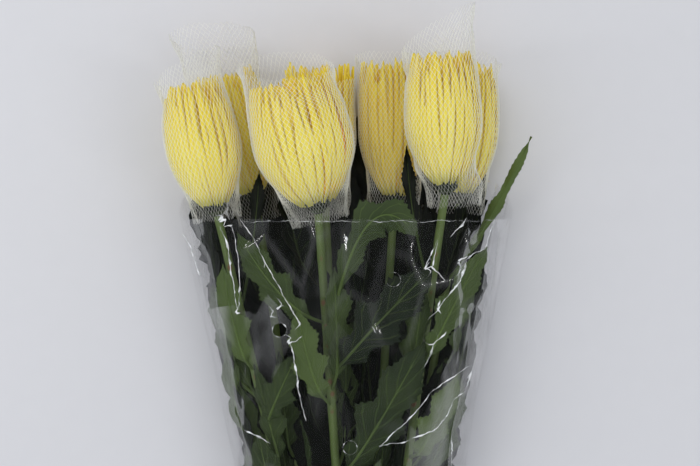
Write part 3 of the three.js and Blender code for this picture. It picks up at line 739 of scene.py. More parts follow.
def head_place(flower):
    """A head's height, and the matrix from its own frame, +Y along the head, to the bunch's."""
    base = Vector(flower["base"])
    axis = Vector(flower["top"]) - base
    turn = Vector((0, 1, 0)).rotation_difference(axis)
    return axis.length, Matrix.Translation(base) @ turn.to_matrix().to_4x4()


def head_outline(flower, t):
    """The head's radius at share t of its height, as a share of its widest."""
    if t < WIDEST_AT:
        return mix(BASE_SHARE, 1, math.sin(math.pi / 2 * max(0.0, t) / WIDEST_AT))
    narrowing = flower.get("narrowing", TIP_NARROWING)
    return 1 - narrowing * ((t - WIDEST_AT) / (1 - WIDEST_AT)) ** 2


def seen_on_film(pixel):
    """The point of the film's front that the photograph's camera sees at a pixel."""
    height = MOUTH_HEIGHT
    for _ in range(6):
        span = (CAMERA_PLACE.z - height) / FOCAL_PIXELS
        x = CAMERA_PLACE.x + (pixel[0] - PICTURE_SIZE[0] / 2) * span
        y = CAMERA_PLACE.y - (pixel[1] - PICTURE_SIZE[1] / 2) * span
        height = film_front(x, y)
    return Vector((x, y, height))


# Mesh helpers


def vertex_layers(bm, *names):
    """Adds the vertex attributes that a finish reads."""
    return {name: bm.verts.layers.float.new(name) for name in names}


def flat_grid(bm, across, along):
    """Adds a flat grid from -1 to 1 across and from 0 to 1 along, and returns its vertices."""
    made = bmesh.ops.create_grid(bm, x_segments=across, y_segments=along, size=1)["verts"]
    for vertex in made:
        vertex.co.y = (vertex.co.y + 1) / 2
    return made


def rolled_tube(bm, sides, rings, closed=False):
    """Adds a tube round +Y, of radius 1 from y 0 to 1, and returns its vertices.

    closed gives it a face over each end.
    """
    made = flat_grid(bm, sides, rings)
    for vertex in made:
        vertex.co = ring_point(math.pi * vertex.co.x, 1, vertex.co.y)
    bmesh.ops.remove_doubles(bm, verts=made, dist=TUBE_SEAM)
    made = [vertex for vertex in made if vertex.is_valid]
    if closed:
        edges = dict.fromkeys(edge for vertex in made for edge in vertex.link_edges)
        rims = [edge for edge in edges if edge.is_boundary]
        bmesh.ops.holes_fill(bm, edges=rims, sides=0)
    return made


def ring_point(angle, radius, y):
    """A point round +Y, at an angle from +Z towards +X."""
    return Vector((math.sin(angle) * radius, y, math.cos(angle) * radius))


def round_angle(vertex):
    """The angle of a rolled tube's vertex round +Y, from +Z towards +X."""
    return math.atan2(vertex.co.x, vertex.co.z)


def head_point(flower, angle, y, share, out):
    """A point round a head in its own frame, out from a share of the head's widest outline."""
    x = math.sin(angle) * (share * flower["width"] + out)
    return Vector((x, y, math.cos(angle) * (share * flower["depth"] + out)))


def thicken(bm, vertices, thickness):
    """Makes the sheet of these vertices a solid blade."""
    faces = dict.fromkeys(face for vertex in vertices for face in vertex.link_faces)
    bmesh.ops.solidify(bm, geom=list(faces), thickness=thickness)


def crisp_corners(bm):
    """Keeps the edges between faces that meet at a corner from being shaded as a curve."""
    for edge in bm.edges:
        edge.smooth = edge.calc_face_angle(0.0) < CORNER_ANGLE


def second_material_from(bm, first):
    """Gives the faces from a number on the piece's second material."""
    bm.faces.ensure_lookup_table()
    for face in bm.faces[first:]:
        face.material_index = 1


def mesh_of(name, bm, materials):
    """A bmesh's shape as a mesh with its materials."""
    mesh = bpy.data.meshes.new(name)
    bm.to_mesh(mesh)
    bm.free()
    for material in materials:
        mesh.materials.append(material)
    return mesh


def linked(name, data):
    """A new object in the scene."""
    made = bpy.data.objects.new(name, data)
    bpy.context.scene.collection.objects.link(made)
    return made


def finished(name, bm, materials, node):
    """Makes the piece that stands for a CAD node from a bmesh, and rides it on the body."""
    mesh = mesh_of(name, bm, materials)
    mesh.polygons.foreach_set("use_smooth", [True] * len(mesh.polygons))
    piece = linked(name, mesh)
    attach(piece, "root")
    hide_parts(node)
    return piece


# Materials


class Socket:
    """An output of a material's nodes. Sums and products of outputs add their Math nodes."""

    def __init__(self, finish, output):
        self.finish = finish
        self.output = output

    def math(self, operation, *values, clamp=False):
        settings = {"operation": operation, "use_clamp": clamp}
        return self.finish.node("ShaderNodeMath", settings, dict(enumerate(values)))

    def __add__(self, other):
        return self.math("ADD", self, other)

    def __radd__(self, other):
        return self.math("ADD", other, self)

    def __sub__(self, other):
        return self.math("SUBTRACT", self, other)

    def __rsub__(self, other):
        return self.math("SUBTRACT", other, self)

    def __mul__(self, other):
        return self.math("MULTIPLY", self, other)

    def __rmul__(self, other):
        return self.math("MULTIPLY", other, self)

    def sine(self):
        return self.math("SINE", self)

    def distance(self):
        return self.math("ABSOLUTE", self)

    def kept(self):
        """The value kept between 0 and 1."""
        return self.math("ADD", self, 0.0, clamp=True)

    def step(self, low, high):
        """0 below low, 1 above high, and a smooth step between them."""
        settings = {"interpolation_type": "SMOOTHSTEP"}
        values = {"Value": self, "From Min": low, "From Max": high}
        return self.finish.node("ShaderNodeMapRange", settings, values, "Result")


class Finish:
    """A material made of nodes."""

    def __init__(self, name):
        self.material = bpy.data.materials.new(name)
        self.material.use_nodes = True
        self.tree = self.material.node_tree
        self.tree.nodes.clear()

    def node(self, kind, settings=None, values=None, output=0):
        """Adds a node: its settings first, then the values or links of its sockets."""
        made = self.tree.nodes.new(kind)
        for key, value in (settings or {}).items():
            setattr(made, key, value)
        for key, value in (values or {}).items():
            if isinstance(value, Socket):
                self.tree.links.new(value.output, made.inputs[key])
            else:
                made.inputs[key].default_value = value
        return Socket(self, made.outputs[output] if made.outputs else None)

    def attribute(self, name):
        return self.node("ShaderNodeAttribute", {"attribute_name": name}, None, "Fac")

    def place(self):
        return self.node("ShaderNodeTexCoord", None, None, "Object")

    def stretched(self, scale):
        values = {"Vector": self.place(), "Scale": scale}
        return self.node("ShaderNodeMapping", None, values)

    def noise(self, scale, detail=2.0, vector=None):
        values = {"Vector": vector or self.place(), "Scale": scale, "Detail": detail}
        return self.node("ShaderNodeTexNoise", None, values)

    def cells(self, feature, scale, output):
        """A pattern of cells: the distance to their edges, or a colour for each."""
        values = {"Vector": self.stretched(scale), "Scale": 1.0}
        return self.node("ShaderNodeTexVoronoi", {"feature": feature}, values, output)

    def blend(self, share, start, end):
        """A colour between start and end."""
        values = {0: share, 6: start, 7: end}
        return self.node("ShaderNodeMix", {"data_type": "RGBA"}, values, 2)

    def bump(self, height, strength, distance):
        values = {"Height": height, "Strength": strength, "Distance": distance}
        return self.node("ShaderNodeBump", None, values)

    def surface(self, colour, roughness, others=None):
        values = {"Base Color": colour, "Roughness": roughness, **(others or {})}
        return self.node("ShaderNodeBsdfPrincipled", None, values)

    def see_through(self, share, shader):
        """A share of a shader, and clear for the rest."""
        clear = self.node("ShaderNodeBsdfTransparent", None, {"Color": CLEAR})
        return self.node("ShaderNodeMixShader", None, {0: share, 1: clear, 2: shader})

    def done(self, shader):
        self.node("ShaderNodeOutputMaterial", None, {"Surface": shader})
        return self.material


def linear(colour):
    """A display colour from 0 to 255 as the linear colour that shaders use."""
    parts = [(v / 255 / 12.92) if v <= 10 else ((v / 255 + 0.055) / 1.055) ** 2.4 for v in colour]
    return (*parts, 1.0)


def opaque(colour):
    """A colour of the settings as a shader's colour."""
    return (*colour, 1)


def petal_finish(settings):
    """Lemon petals, greenish at the foot, with fine veins, painted gold as shade where they lie
    deep.
    """
    f = Finish("petal")
    along = f.attribute("along")
    across = f.attribute("across")
    deep = f.attribute("deep")
    tone = f.attribute("tone")
    mottle = f.noise(260.0, 3.0)
    gold = opaque(settings.petal_shade_gold)
    paler = (tone * 0.5 + (1 - along) * 0.55).kept()
    lemon = f.blend(paler, opaque(settings.petal_colour), opaque(settings.petal_pale))
    # Painted shade: petals that lie deep, and all petals a little towards their tips, turn gold.
    gold_shade_share = (deep + mottle * 0.25 - 0.1 + along.step(0.5, 0.95) * 0.12).kept()
    # Painted shade between the straps: each petal turns gold towards its edges.
    edge = across.distance().step(0.55, 1.0) * 0.22
    edged = f.blend(edge, f.blend(gold_shade_share, lemon, gold), gold)
    foot = 1 - along.step(0.0, 0.16)
    colour = f.blend(foot * 0.7, edged, linear(PETAL_FOOT))
    veins = (across * 24.0 + mottle * 2.0).sine() * 0.5 + mottle * 0.4
    others = {
        "Normal": f.bump(veins, 0.35, 0.0004),
        # A faint painted glow, standing for light through the petals, keeps their shade yellow.
        "Emission Color": (1.0, 0.7, 0.08, 1),
        "Emission Strength": 0.05,
        "Specular IOR Level": 0.3,
    }
    return f.done(f.surface(colour, 0.42 + mottle * 0.2, others))


def core_finish(settings):
    """The depth between the petals: gold as painted shade, dark green at the foot as the
    receptacle's green and painted shade, and a painted glow for light through the petals.
    """
    f = Finish("petal_depth")
    mottle = f.noise(180.0, 3.0)
    gold = f.blend(mottle, opaque(settings.petal_shade_gold), linear(CORE_DEEP))
    foot = 1 - f.attribute("along").step(0.03, 0.13)
    colour = f.blend(foot, gold, linear(CORE_FOOT))
    # A painted glow, standing for light through the petals, that fades to none at the foot.
    lit = f.blend(foot, linear(CORE_PAINTED_GLOW), linear(BLACK))
    return f.done(f.surface(colour, 0.7, {"Emission Color": lit, "Emission Strength": 1.0}))


def net_finish(settings):
    """White extruded plastic net, slightly glossy, its strands drawn thin at the foot."""
    f = Finish("net")
    speck = f.noise(900.0, 2.0)
    drawn = f.attribute("drawn")
    colour = f.blend(speck * 0.4, opaque(settings.net_colour), linear(NET_SHADE))
    others = {"Alpha": 1 - drawn * 0.68, "Normal": f.bump(speck, 0.15, 0.0001)}
    return f.done(f.surface(colour, 0.3 + speck * 0.2, others))


def leaf_finish(settings):
    """A matt lobed leaf, darker between its paler veins, lighter where it is young, and darkened
    as painted shade deep in the bunch.
    """
    f = Finish("leaf")
    along = f.attribute("along")
    fresh = f.attribute("fresh")
    mottle = f.noise(140.0, 4.0)
    patch = f.noise(38.0, 2.0)
    reach = f.attribute("across").distance()
    rib = 1 - reach.step(0.02, 0.09)
    branch = (along * VEIN_WAVE - reach * VEIN_SLANT).sine().step(0.86, 1.0)
    vein = (rib + branch * (1 - reach.step(0.75, 1.0)) * 0.7).kept()
    # Painted shade: below 0, a leaf's freshness darkens it towards the darkest green.
    grown = (mottle * 0.8 + fresh).kept()
    deep = f.blend(grown, opaque(settings.leaf_dark), opaque(settings.leaf_colour))
    green = f.blend((fresh + patch * 0.3 - 0.15).kept(), deep, opaque(settings.leaf_fresh))
    colour = f.blend(vein * (0.3 + fresh * 0.3), green, linear(LEAF_VEIN))
    relief = f.bump(mottle * 0.6 - vein * 0.8, 0.5, 0.0008)
    others = {"Normal": relief, "Specular IOR Level": 0.18}
    return f.done(f.surface(colour, 0.5 + mottle * 0.2, others))


def stem_finish(settings):
    """A ribbed green stem with brown scars where side buds and leaves were taken off."""
    f = Finish("stem")
    scar = f.attribute("scar")
    streak = f.noise(1.0, 3.0, f.stretched((260.0, 18.0, 260.0)))
    green = f.blend(streak, opaque(settings.stem_colour), linear(STEM_STREAK))
    ribbed = f.blend(f.attribute("across") * 0.35, green, linear(STEM_GROOVE))
    brown = (scar + streak * 0.3 - 0.25).kept().step(0.2, 0.6)
    colour = f.blend(brown, ribbed, linear(SCAR_BROWN))
    others = {"Normal": f.bump(streak + scar, 0.4, 0.0006)}
    return f.done(f.surface(colour, 0.5 + streak * 0.15, others))


def film_finish(settings):
    """Clear film: it lets light through, and reflects more where it slants away or is creased."""
    f = Finish("film")
    ripple = f.noise(1.0, 2.0, f.stretched((46.0, 13.0, 46.0)))
    crush = f.cells("DISTANCE_TO_EDGE", (34.0, 17.0, 34.0), 0)
    creased = (1 - crush.step(0.0, 0.12)) * f.noise(9.0, 1.0).step(0.52, 0.68)
    normal = f.bump(ripple + creased * 0.5, settings.film_relief, 0.004)
    shine = {"Color": CLEAR, "Roughness": settings.film_roughness, "Normal": normal}
    gloss = f.node("ShaderNodeBsdfGlossy", None, shine)
    fresnel = f.node("ShaderNodeFresnel", None, {"IOR": FILM_IOR, "Normal": normal})
    limited = fresnel.math("MINIMUM", fresnel, settings.film_limit)
    slant = fresnel.step(0.16, 0.9) * 0.24
    aside = f.node("ShaderNodeSeparateXYZ", None, {"Vector": f.place()}).distance()
    tint = f.cells("F1", (36.0, 15.0, 36.0), "Color")
    facets = f.node("ShaderNodeRGBToBW", None, {"Color": tint}).step(0.5, 0.62)
    streak = f.noise(1.0, 3.0, f.stretched((30.0, 9.0, 30.0))).step(0.4, 0.66)
    hazy = facets * streak * (aside.step(0.03, 0.09) * 0.9 + 0.1) * settings.film_haze
    share = limited * 0.07 + slant + hazy + creased * 0.02
    return f.done(f.see_through(share, gloss))


def fold_highlight_finish():
    """The sharp folds in the film, whitened, and bright as painted highlights and glints."""
    f = Finish("film_fold")
    grain = f.noise(120.0, 2.0)
    share = grain.step(0.3, 0.6) * 0.7 + 0.1
    return f.done(f.see_through(share, f.surface(linear(FOLD_WHITE_HIGHLIGHT), 0.18)))


def band_finish(settings):
    """A plain tan rubber band with a dull bloom."""
    f = Finish("band")
    bloom = f.noise(420.0, 4.0)
    colour = f.blend(bloom, opaque(settings.band_colour), linear(BAND_BLOOM))
    return f.done(f.surface(colour, 0.62 + bloom * 0.2, {"Normal": f.bump(bloom, 0.2, 0.0003)}))


def floor_finish(settings):
    """A plain pale matt floor."""
    f = Finish("floor")
    colour = f.blend(f.noise(60.0, 3.0) * 0.3, opaque(settings.floor_colour), linear(FLOOR_SHADE))
    return f.done(f.surface(colour, 0.9))


# Petals


def petal_width(u):
    """A strap petal's width at share u of its length, as a share of its widest."""
    swell = mix(0.3, 1.0, smooth(u / 0.25)) - 0.2 * smooth((u - 0.55) / 0.3)
    tip = max(0.0, u - 0.86) / 0.14
    return swell * math.sqrt(max(0.015, 1 - tip * tip))


def add_petal(bm, layers, flower, place, petal):
    """Adds one cupped strap petal that stands on the head's outline, less its inset."""
    height, matrix = place
    phase = petal["phase"]
    for vertex in flat_grid(bm, PETAL_COLUMNS, petal["rows"]):
        side, u = vertex.co.x, 1 - (1 - vertex.co.y) ** TIP_CROWDING
        t = mix(petal["start"], petal["end"], u)
        share = head_outline(flower, t) * petal["share"]
        wave = math.sin(u * PETAL_WAVE + phase) * PETAL_SWAY + petal["drift"] * (u - 0.5)
        girth = max(LEAST_GIRTH, share * flower["width"])
        angle = petal["azimuth"] + wave + side * petal_width(u) * petal["half"] / girth
        curl = petal["curl"] * side * side * (0.4 + 0.6 * u)
        hood = petal["hood"] * (max(0.0, u - HOOD_FROM) / (1 - HOOD_FROM)) ** 2
        foot = petal["sink"] * FOOT_SINK * clamp01(1 - 6 * u)
        sunk = petal["inset"] + curl + hood + petal["lap"] * side + foot
        notch = petal["notch"] * (1 - abs(side)) * max(0.0, u - NOTCH_FROM) / (1 - NOTCH_FROM)
        crinkle = CRINKLE * math.sin(u * CRINKLE_WAVE + phase * 3) * abs(side) * u
        local = head_point(flower, angle, (t - notch) * height, share, crinkle - sunk)
        vertex.co = in_row(matrix @ local)
        vertex[layers["along"]] = t
        vertex[layers["across"]] = side
        # How much painted shade turns the petal gold, less at its bare tip.
        vertex[layers["deep"]] = petal["deep"] * (1 - 0.85 * smooth((u - 0.78) / 0.16))
        vertex[layers["tone"]] = petal["tone"]


def add_core(bm, layers, flower, place):
    """Adds the closed body inside the petals."""
    height, matrix = place
    for vertex in rolled_tube(bm, *CORE_GRID, closed=True):
        angle = round_angle(vertex)
        t = vertex.co.y * CORE_TOP
        share = head_outline(flower, t) * math.sqrt(max(0.0, 1 - vertex.co.y**6 * 0.8))
        vertex.co = in_row(matrix @ head_point(flower, angle, t * height, share, -CORE_DEPTH))
        vertex[layers["along"]] = t


def build_head(name, seed, settings, materials):
    """One head: a core, and rings of strap petals that stand out of it."""
    flower = FLOWERS[name]
    place = head_place(flower)
    draw = seeded_draw(seed)
    bm = bmesh.new()
    layers = vertex_layers(bm, "along", "across", "deep", "tone")
    for number, ring in enumerate(PETAL_RINGS):
        count = round(ring["count"] * mix(1.0, flower["width"] / USUAL_HALF_WIDTH, 0.7))
        kind = OUTER_PETAL if number < OUTER_RINGS else TOP_PETAL
        for i in range(count):
            end = mix(*ring["end"], draw())
            half = ring["half"] * mix(0.85, 1.12, draw()) * settings.petal_width
            turn = i + (draw() - 0.5) * PETAL_TURN_SPREAD + 0.5 * (number % 2)
            petal = dict(
                kind,
                share=ring["share"],
                # A head's shade adds painted shade to all its petals.
                deep=ring["deep"] + flower.get("shade", 0.0),
                end=end,
                half=half,
                azimuth=math.tau * turn / count,
                phase=draw() * math.tau,
                tone=draw(),
                inset=ring["inset"] + draw() * 0.5,
                start=ring["start"] + draw() * 0.035,
                drift=(draw() - 0.5) * kind["drift"],
                hood=mix(0.0, 1.6, draw()),
                notch=mix(0.0, 0.012, draw()),
            )
            add_petal(bm, layers, flower, place, petal)
    bm.normal_update()
    bmesh.ops.solidify(bm, geom=bm.faces[:], thickness=settings.petal_thickness)
    petal_faces = len(bm.faces)
    add_core(bm, layers, flower, place)
    second_material_from(bm, petal_faces)
    return finished(f"head_{name}", bm, materials, f"petals_{name}")


# Nets


def net_point(flower, height, angle, v, waver, lift):
    """A point of a net tube in its head's frame, from its lower end, v 0, to its rim, v 1."""
    foot = -flower["net_tail"] / height
    t = mix(foot, 1 + flower["net_top"] / height, v)
    held = head_outline(flower, clamp01(t))
    foot_share = flower["net_foot"] / flower["width"]
    loose = mix(foot_share, NET_LOOSE_SHARE, smooth((t - foot) / NET_GATHER))
    share = max(held, loose) * (1 + NET_FLARE * max(0.0, t - NET_FLARE_FROM))
    free = smooth((0.12 - t) / 0.12) + smooth((t - 0.98) / 0.1)
    out = NET_LINE + waver * (0.25 + 1.6 * free)
    across, up = flower["net_tilt"]
    slope = across * math.sin(angle) + up * math.cos(angle)
    slant = slope * smooth((t - NET_SLANT_FROM) / NET_SLANT_SPAN)
    point = head_point(flower, angle, t * height + slant + lift, share, out)
    point.x += flower.get("net_sway", 0) * smooth((0.16 - t) / 0.2)
    return point


def build_net(name, seed, settings, material):
    """One net: a lattice of diamond cells round a head, of round strands."""
    flower = FLOWERS[name]
    height, matrix = head_place(flower)
    length = height + flower["net_top"] + flower["net_tail"]
    bm = bmesh.new()
    layers = vertex_layers(bm, "drawn")
    girth = math.pi * (flower["width"] + flower["depth"])
    sides, rings = girth * MM / settings.cell_width, length * MM / settings.cell_height
    rolled_tube(bm, round(sides), round(rings))
    squares = [edge for edge in bm.edges if not edge.is_boundary]
    bmesh.ops.poke(bm, faces=bm.faces[:])
    bmesh.ops.dissolve_edges(bm, edges=squares, use_verts=False)
    halves = [face for face in bm.faces if len(face.verts) == 3]
    bmesh.ops.delete(bm, geom=halves, context="FACES")
    for vertex in bm.verts:
        angle = round_angle(vertex)
        v = vertex.co.y
        ring = Vector((math.sin(angle), math.cos(angle), v * 3)) * 1.6 + Vector((seed, 0, 0))
        twist = noise.noise(ring * 1.3 + Vector((0, 17, 0))) * NET_TWIST
        lift = noise.noise(ring * 1.3 + Vector((0, 0, 29))) * NET_LIFT
        waver = noise.noise(ring * 1.8) * NET_WAVER
        place = matrix @ net_point(flower, height, angle + twist, v, waver, lift)
        place.z = max(place.z, NET_LOWEST_Z)
        vertex.co = in_row(place)
        above_foot = v * length - flower["net_tail"] - 2
        vertex[layers["drawn"]] = 1 - smooth(above_foot / NET_DRAWN_RUN)
    bmesh.ops.wireframe(
        bm,
        faces=bm.faces[:],
        thickness=settings.strand,
        use_replace=True,
        use_boundary=True,
        use_even_offset=False,
    )
    return finished(f"netting_{name}", bm, [material], f"net_{name}")


# Leafy stems


def add_leaf(bm, layers, room, leaf, seed):
    """Adds one lobed and toothed blade with its stalk and midrib."""
    placed = chosen_leaf_point if "tip" in leaf else spiral_leaf_point
    inner = leaf.get("inner", False)
    columns, rows = INNER_LEAF_GRID if inner else LEAF_GRID
    wave = noise.noise(Vector((seed * 1.7, 0.3, 0.9))) * 3
    made = flat_grid(bm, columns, rows)
    for vertex in made:
        side, u = vertex.co.x, vertex.co.y
        tooth = 1 - TOOTH_DEPTH * (round(u * rows) % 2) * abs(side)
        vertex.co = placed(room, leaf, u, side * tooth)
        if inner:
            vertex.co = kept_inside(vertex.co, INNER_LEAF_MARGIN)
        vertex[layers["along"]] = u
        vertex[layers["across"]] = side
        vertex[layers["fresh"]] = leaf["fresh"]
    bm.normal_update()
    for vertex in made:
        u, side = vertex[layers["along"]], vertex[layers["across"]]
        grown = smooth((u - 0.2) / 0.15)
        frill = math.sin(u * FRILL_WAVE + wave) * abs(side) ** 1.5 * FRILL
        groove = MIDRIB_GROOVE * math.exp(-((side / GROOVE_WIDTH) ** 2))
        quilt = QUILT * math.sin(u * VEIN_WAVE - abs(side) * VEIN_SLANT)
        vertex.co += vertex.normal * ((frill + groove + quilt) * grown)
    thicken(bm, made, LEAF_THICKNESS)
    if not inner:
        add_midrib(bm, layers, room, leaf, placed)


def add_midrib(bm, layers, room, leaf, placed):
    """Adds the stalk, which runs on behind the blade as its midrib."""
    for vertex in rolled_tube(bm, *STALK_GRID, closed=True):
        angle = round_angle(vertex)
        u = vertex.co.y * MIDRIB_END
        before, after = max(0.0, u - 0.02), min(1.0, u + 0.02)
        ahead = placed(room, leaf, after, 0) - placed(room, leaf, before, 0)
        aside = placed(room, leaf, u, 0.3) - placed(room, leaf, u, -0.3)
        up = aside.cross(ahead).normalized()
        aside.normalize()
        radius = mix(STALK_RADIUS, MIDRIB_RADIUS, smooth(u / 0.95))
        sunk = MIDRIB_SUNK * smooth((u - 0.1) / 0.2)
        off = aside * (math.sin(angle) * radius) + up * (math.cos(angle) * radius - sunk)
        vertex.co = placed(room, leaf, u, 0) + off
        vertex[layers["along"]] = u
        vertex[layers["fresh"]] = clamp01(leaf["fresh"] + MIDRIB_FRESHER)


def scars_of(name, leaves):
    """The places of a stem's scars: height and angle from +X towards +Z, in radians."""
    scars = [(y, math.radians(angle)) for stem, y, angle in STEM_SCARS if stem == name]
    return scars + [(leaf["y"] - 2, math.radians(leaf.get("azimuth", 90))) for leaf in leaves]


def add_stem(bm, layers, flower, scars):
    """Adds the ribbed stem, swollen at its nodes, cut square at the foot."""
    top = flower["base"][1] - STEM_SEAT
    for vertex in rolled_tube(bm, *STEM_GRID, closed=True):
        angle = round_angle(vertex)
        y = vertex.co.y * top
        rib = math.cos(angle * STEM_RIBS)
        swell = 0.0
        scar = 0.0
        for scar_y, scar_angle in scars:
            turned = math.pi / 2 - angle - scar_angle
            off = math.atan2(math.sin(turned), math.cos(turned)) * STEM_RADIUS_HEAD
            up = y - scar_y
            swell += NODE_SWELL * math.exp(-((up / NODE_LENGTH) ** 2))
            scar = max(scar, math.exp(-((off / SCAR_RADIUS) ** 2) - (up / SCAR_RADIUS) ** 2))
        radius = stem_radius(flower, y) * (1 - RIB_DEPTH * (1 - rib)) + swell * 0.5
        radius += STEM_UNEVENNESS * noise.noise(ring_point(angle, 1, y * 0.08))
        vertex.co = stem_point(flower, y) + ring_point(angle, radius, 0)
        vertex[layers["across"]] = 0.5 - 0.5 * rib
        vertex[layers["scar"]] = scar


def add_calyx(bm, layers, flower):
    """Adds the green cup under the head, with rows of overlapping scales."""
    _, matrix = head_place(flower)
    for vertex in rolled_tube(bm, *CALYX_GRID, closed=True):
        v = vertex.co.y
        opened = math.sin(math.pi / 2 * min(1.0, v * 1.25))
        radius = mix(STEM_RADIUS_HEAD, CALYX_RADIUS, opened)
        y = mix(-CALYX_HEIGHT, -SEAT_GAP, v)
        vertex.co = matrix @ ring_point(round_angle(vertex), radius, y)
        vertex[layers["across"]] = 0.5
        # The cup's green, darkened as painted shade.
        vertex[layers["fresh"]] = CALYX_SHADED_GREEN
    for row, (count, low, high) in enumerate(CALYX_SCALES):
        for i in range(count):
            middle = math.tau * (i + 0.5 * row) / count
            scale = flat_grid(bm, *SCALE_GRID)
            for vertex in scale:
                side, u = vertex.co.x, vertex.co.y
                y = mix(low, high, u)
                cup = mix(STEM_RADIUS_HEAD, CALYX_RADIUS, smooth((y + 6.5) / 6))
                angle = middle + side * SCALE_HALF_ANGLE * math.sqrt(max(0.02, 1 - u**3))
                radius = cup + SCALE_OFF + row * SCALE_ROW_OFF
                vertex.co = matrix @ ring_point(angle, radius, y)
                vertex[layers["across"]] = 0.2 + 0.5 * abs(side)
                vertex[layers["fresh"]] = CALYX_SHADED_GREEN
            bm.normal_update()
            thicken(bm, scale, SCALE_THICKNESS)


def build_foliage(name, seed, materials):
    """One leafy stem: the stem, the cup of scales under its head, and its leaves."""
    flower = FLOWERS[name]
    room = StemRoom(flower)
    leaves = leaves_of(name, seed)
    bm = bmesh.new()
    layers = vertex_layers(bm, "along", "across", "fresh", "scar")
    add_stem(bm, layers, flower, scars_of(name, leaves))
    stem_faces = len(bm.faces)
    add_calyx(bm, layers, flower)
    for number, leaf in enumerate(leaves + inner_leaves_of(name, seed + INNER_LEAF_SEED)):
        add_leaf(bm, layers, room, leaf, seed * 10 + number)
    second_material_from(bm, stem_faces)
    for vertex in bm.verts:
        vertex.co = in_row(vertex.co)
    crisp_corners(bm)
    return finished(f"foliage_{name}", bm, materials, f"leafy_stem_{name}")


# Film sleeve


def film_inset(y, angle, v, settings):
    """How far the film's flutes, which run to its foot, draw it in at a place."""
    around = Vector((math.cos(angle), math.sin(angle), 0))
    slow = noise.noise(around * 1.9 + Vector((0, 0, y * 0.006)))
    flute = noise.noise(around * 5.2 + Vector((4, 0, y * 0.009)))
    crisp = 1 - abs(noise.noise(around * 3.4 + Vector((9, 2, y * 0.012)))) * 6
    depth = slow * BROAD_FLUTES + flute * NARROW_FLUTES - max(0.0, crisp) * SOFT_CREASES
    inset = 0.45 + settings.flute_depth * (0.5 + 0.5 * v) * (depth + 1.0)
    return max(LEAST_FILM_INSET, inset)


def film_point(angle, v, settings):
    """A point of the film, whose back rim stands higher."""
    behind = smooth((0.35 - math.sin(angle)) / 1.1)
    rise = SLEEVE_BACK_RISE * behind * smooth((v - 0.5) / 0.5)
    y = mix(SLEEVE_FOOT, SLEEVE_MOUTH, v) + rise
    return sleeve_point(y, angle, film_inset(y, angle, v, settings))


def film_over(x, y, settings):
    """The point of the film's front over a place of the surface."""
    v = (y - SLEEVE_FOOT) / (SLEEVE_MOUTH - SLEEVE_FOOT)
    half_width, _, centre_x = sleeve_section(y)
    angle = math.pi / 2
    for _ in range(5):
        inset = film_inset(y, angle, v, settings)
        share = max(-1.0, min(1.0, (x - centre_x) / (half_width - inset)))
        angle = math.acos(signed_power(share, SLEEVE_SQUARENESS / 2))
    return sleeve_point(y, angle, inset)


def from_vent(place, middle):
    """How far a place of the film's front lies from a vent's middle, seen from above."""
    return (place - middle).xy.length if place.z > FRONT_FILM_Z else math.inf


def punch_vents(bm, settings):
    """Opens the round vent holes in a finer part of the sheet."""
    radius = settings.vent_radius / MM
    for x, y in VENTS:
        middle = film_over(x, y, settings)
        around = [
            edge
            for edge in bm.edges
            if max(from_vent(vertex.co, middle) for vertex in edge.verts) < 2 * radius
        ]
        bmesh.ops.subdivide_edges(bm, edges=around, cuts=VENT_CUTS, use_grid_fill=True)
        inside = [
            face for face in bm.faces if from_vent(face.calc_center_median(), middle) < radius
        ]
        rim = {
            vertex
            for face in inside
            for vertex in face.verts
            if any(other not in inside for other in vertex.link_faces)
        }
        bmesh.ops.delete(bm, geom=inside, context="FACES")
        for vertex in rim:
            out = (vertex.co - middle).xy.normalized() * radius
            vertex.co = film_over(middle.x + out.x, middle.y + out.y, settings)


def build_film(settings, material):
    """The clear sleeve: one thin sheet round the bunch, open at both ends."""
    bm = bmesh.new()
    for vertex in rolled_tube(bm, *FILM_GRID):
        angle = math.pi / 2 - round_angle(vertex)
        vertex.co = film_point(angle, vertex.co.y, settings)
    punch_vents(bm, settings)
    to_row = Matrix.Scale(MM, 4) @ Matrix.Translation(SHIFT)
    bmesh.ops.transform(bm, matrix=to_row, verts=bm.verts)
    bmesh.ops.solidify(bm, geom=bm.faces[:], thickness=settings.film_thickness)
    crisp_corners(bm)
    return finished("film", bm, [material], "film_sleeve")


def add_fold(bm, width, line, settings):
    """Adds one sharp fold on the film's front, a low ragged ridge along its line."""
    points = [seen_on_film(pixel) for pixel in line]
    for number, (start, end) in enumerate(zip(points, points[1:])):
        steps = max(3, round((end - start).length / FOLD_STEP))
        ahead = (end - start).normalized()
        aside = Vector((ahead.y, -ahead.x, 0)).normalized()
        for vertex in rolled_tube(bm, FOLD_SIDES, steps, closed=True):
            angle = round_angle(vertex)
            share = vertex.co.y
            along = start.lerp(end, share)
            whole = clamp01((number + share) / (len(points) - 1))
            ragged = 0.4 + 2.6 * max(0.0, noise.noise(along * 0.22 + Vector((0, width * 9, 0))))
            size = width * ragged * math.sqrt(max(0.02, math.sin(math.pi * whole)))
            sway = noise.noise(along * 0.09 + Vector((width, 0, 0))) * FOLD_WANDER
            sway += noise.noise(along * 0.5 + Vector((0, 0, width))) * FOLD_JITTER
            place = along + aside * (math.sin(angle) * size * 0.5 + sway)
            lain = film_over(place.x, place.y, settings).z
            place.z = lain + 0.1 + (1 + math.cos(angle)) * size * FOLD_RISE
            vertex.co = in_row(place)


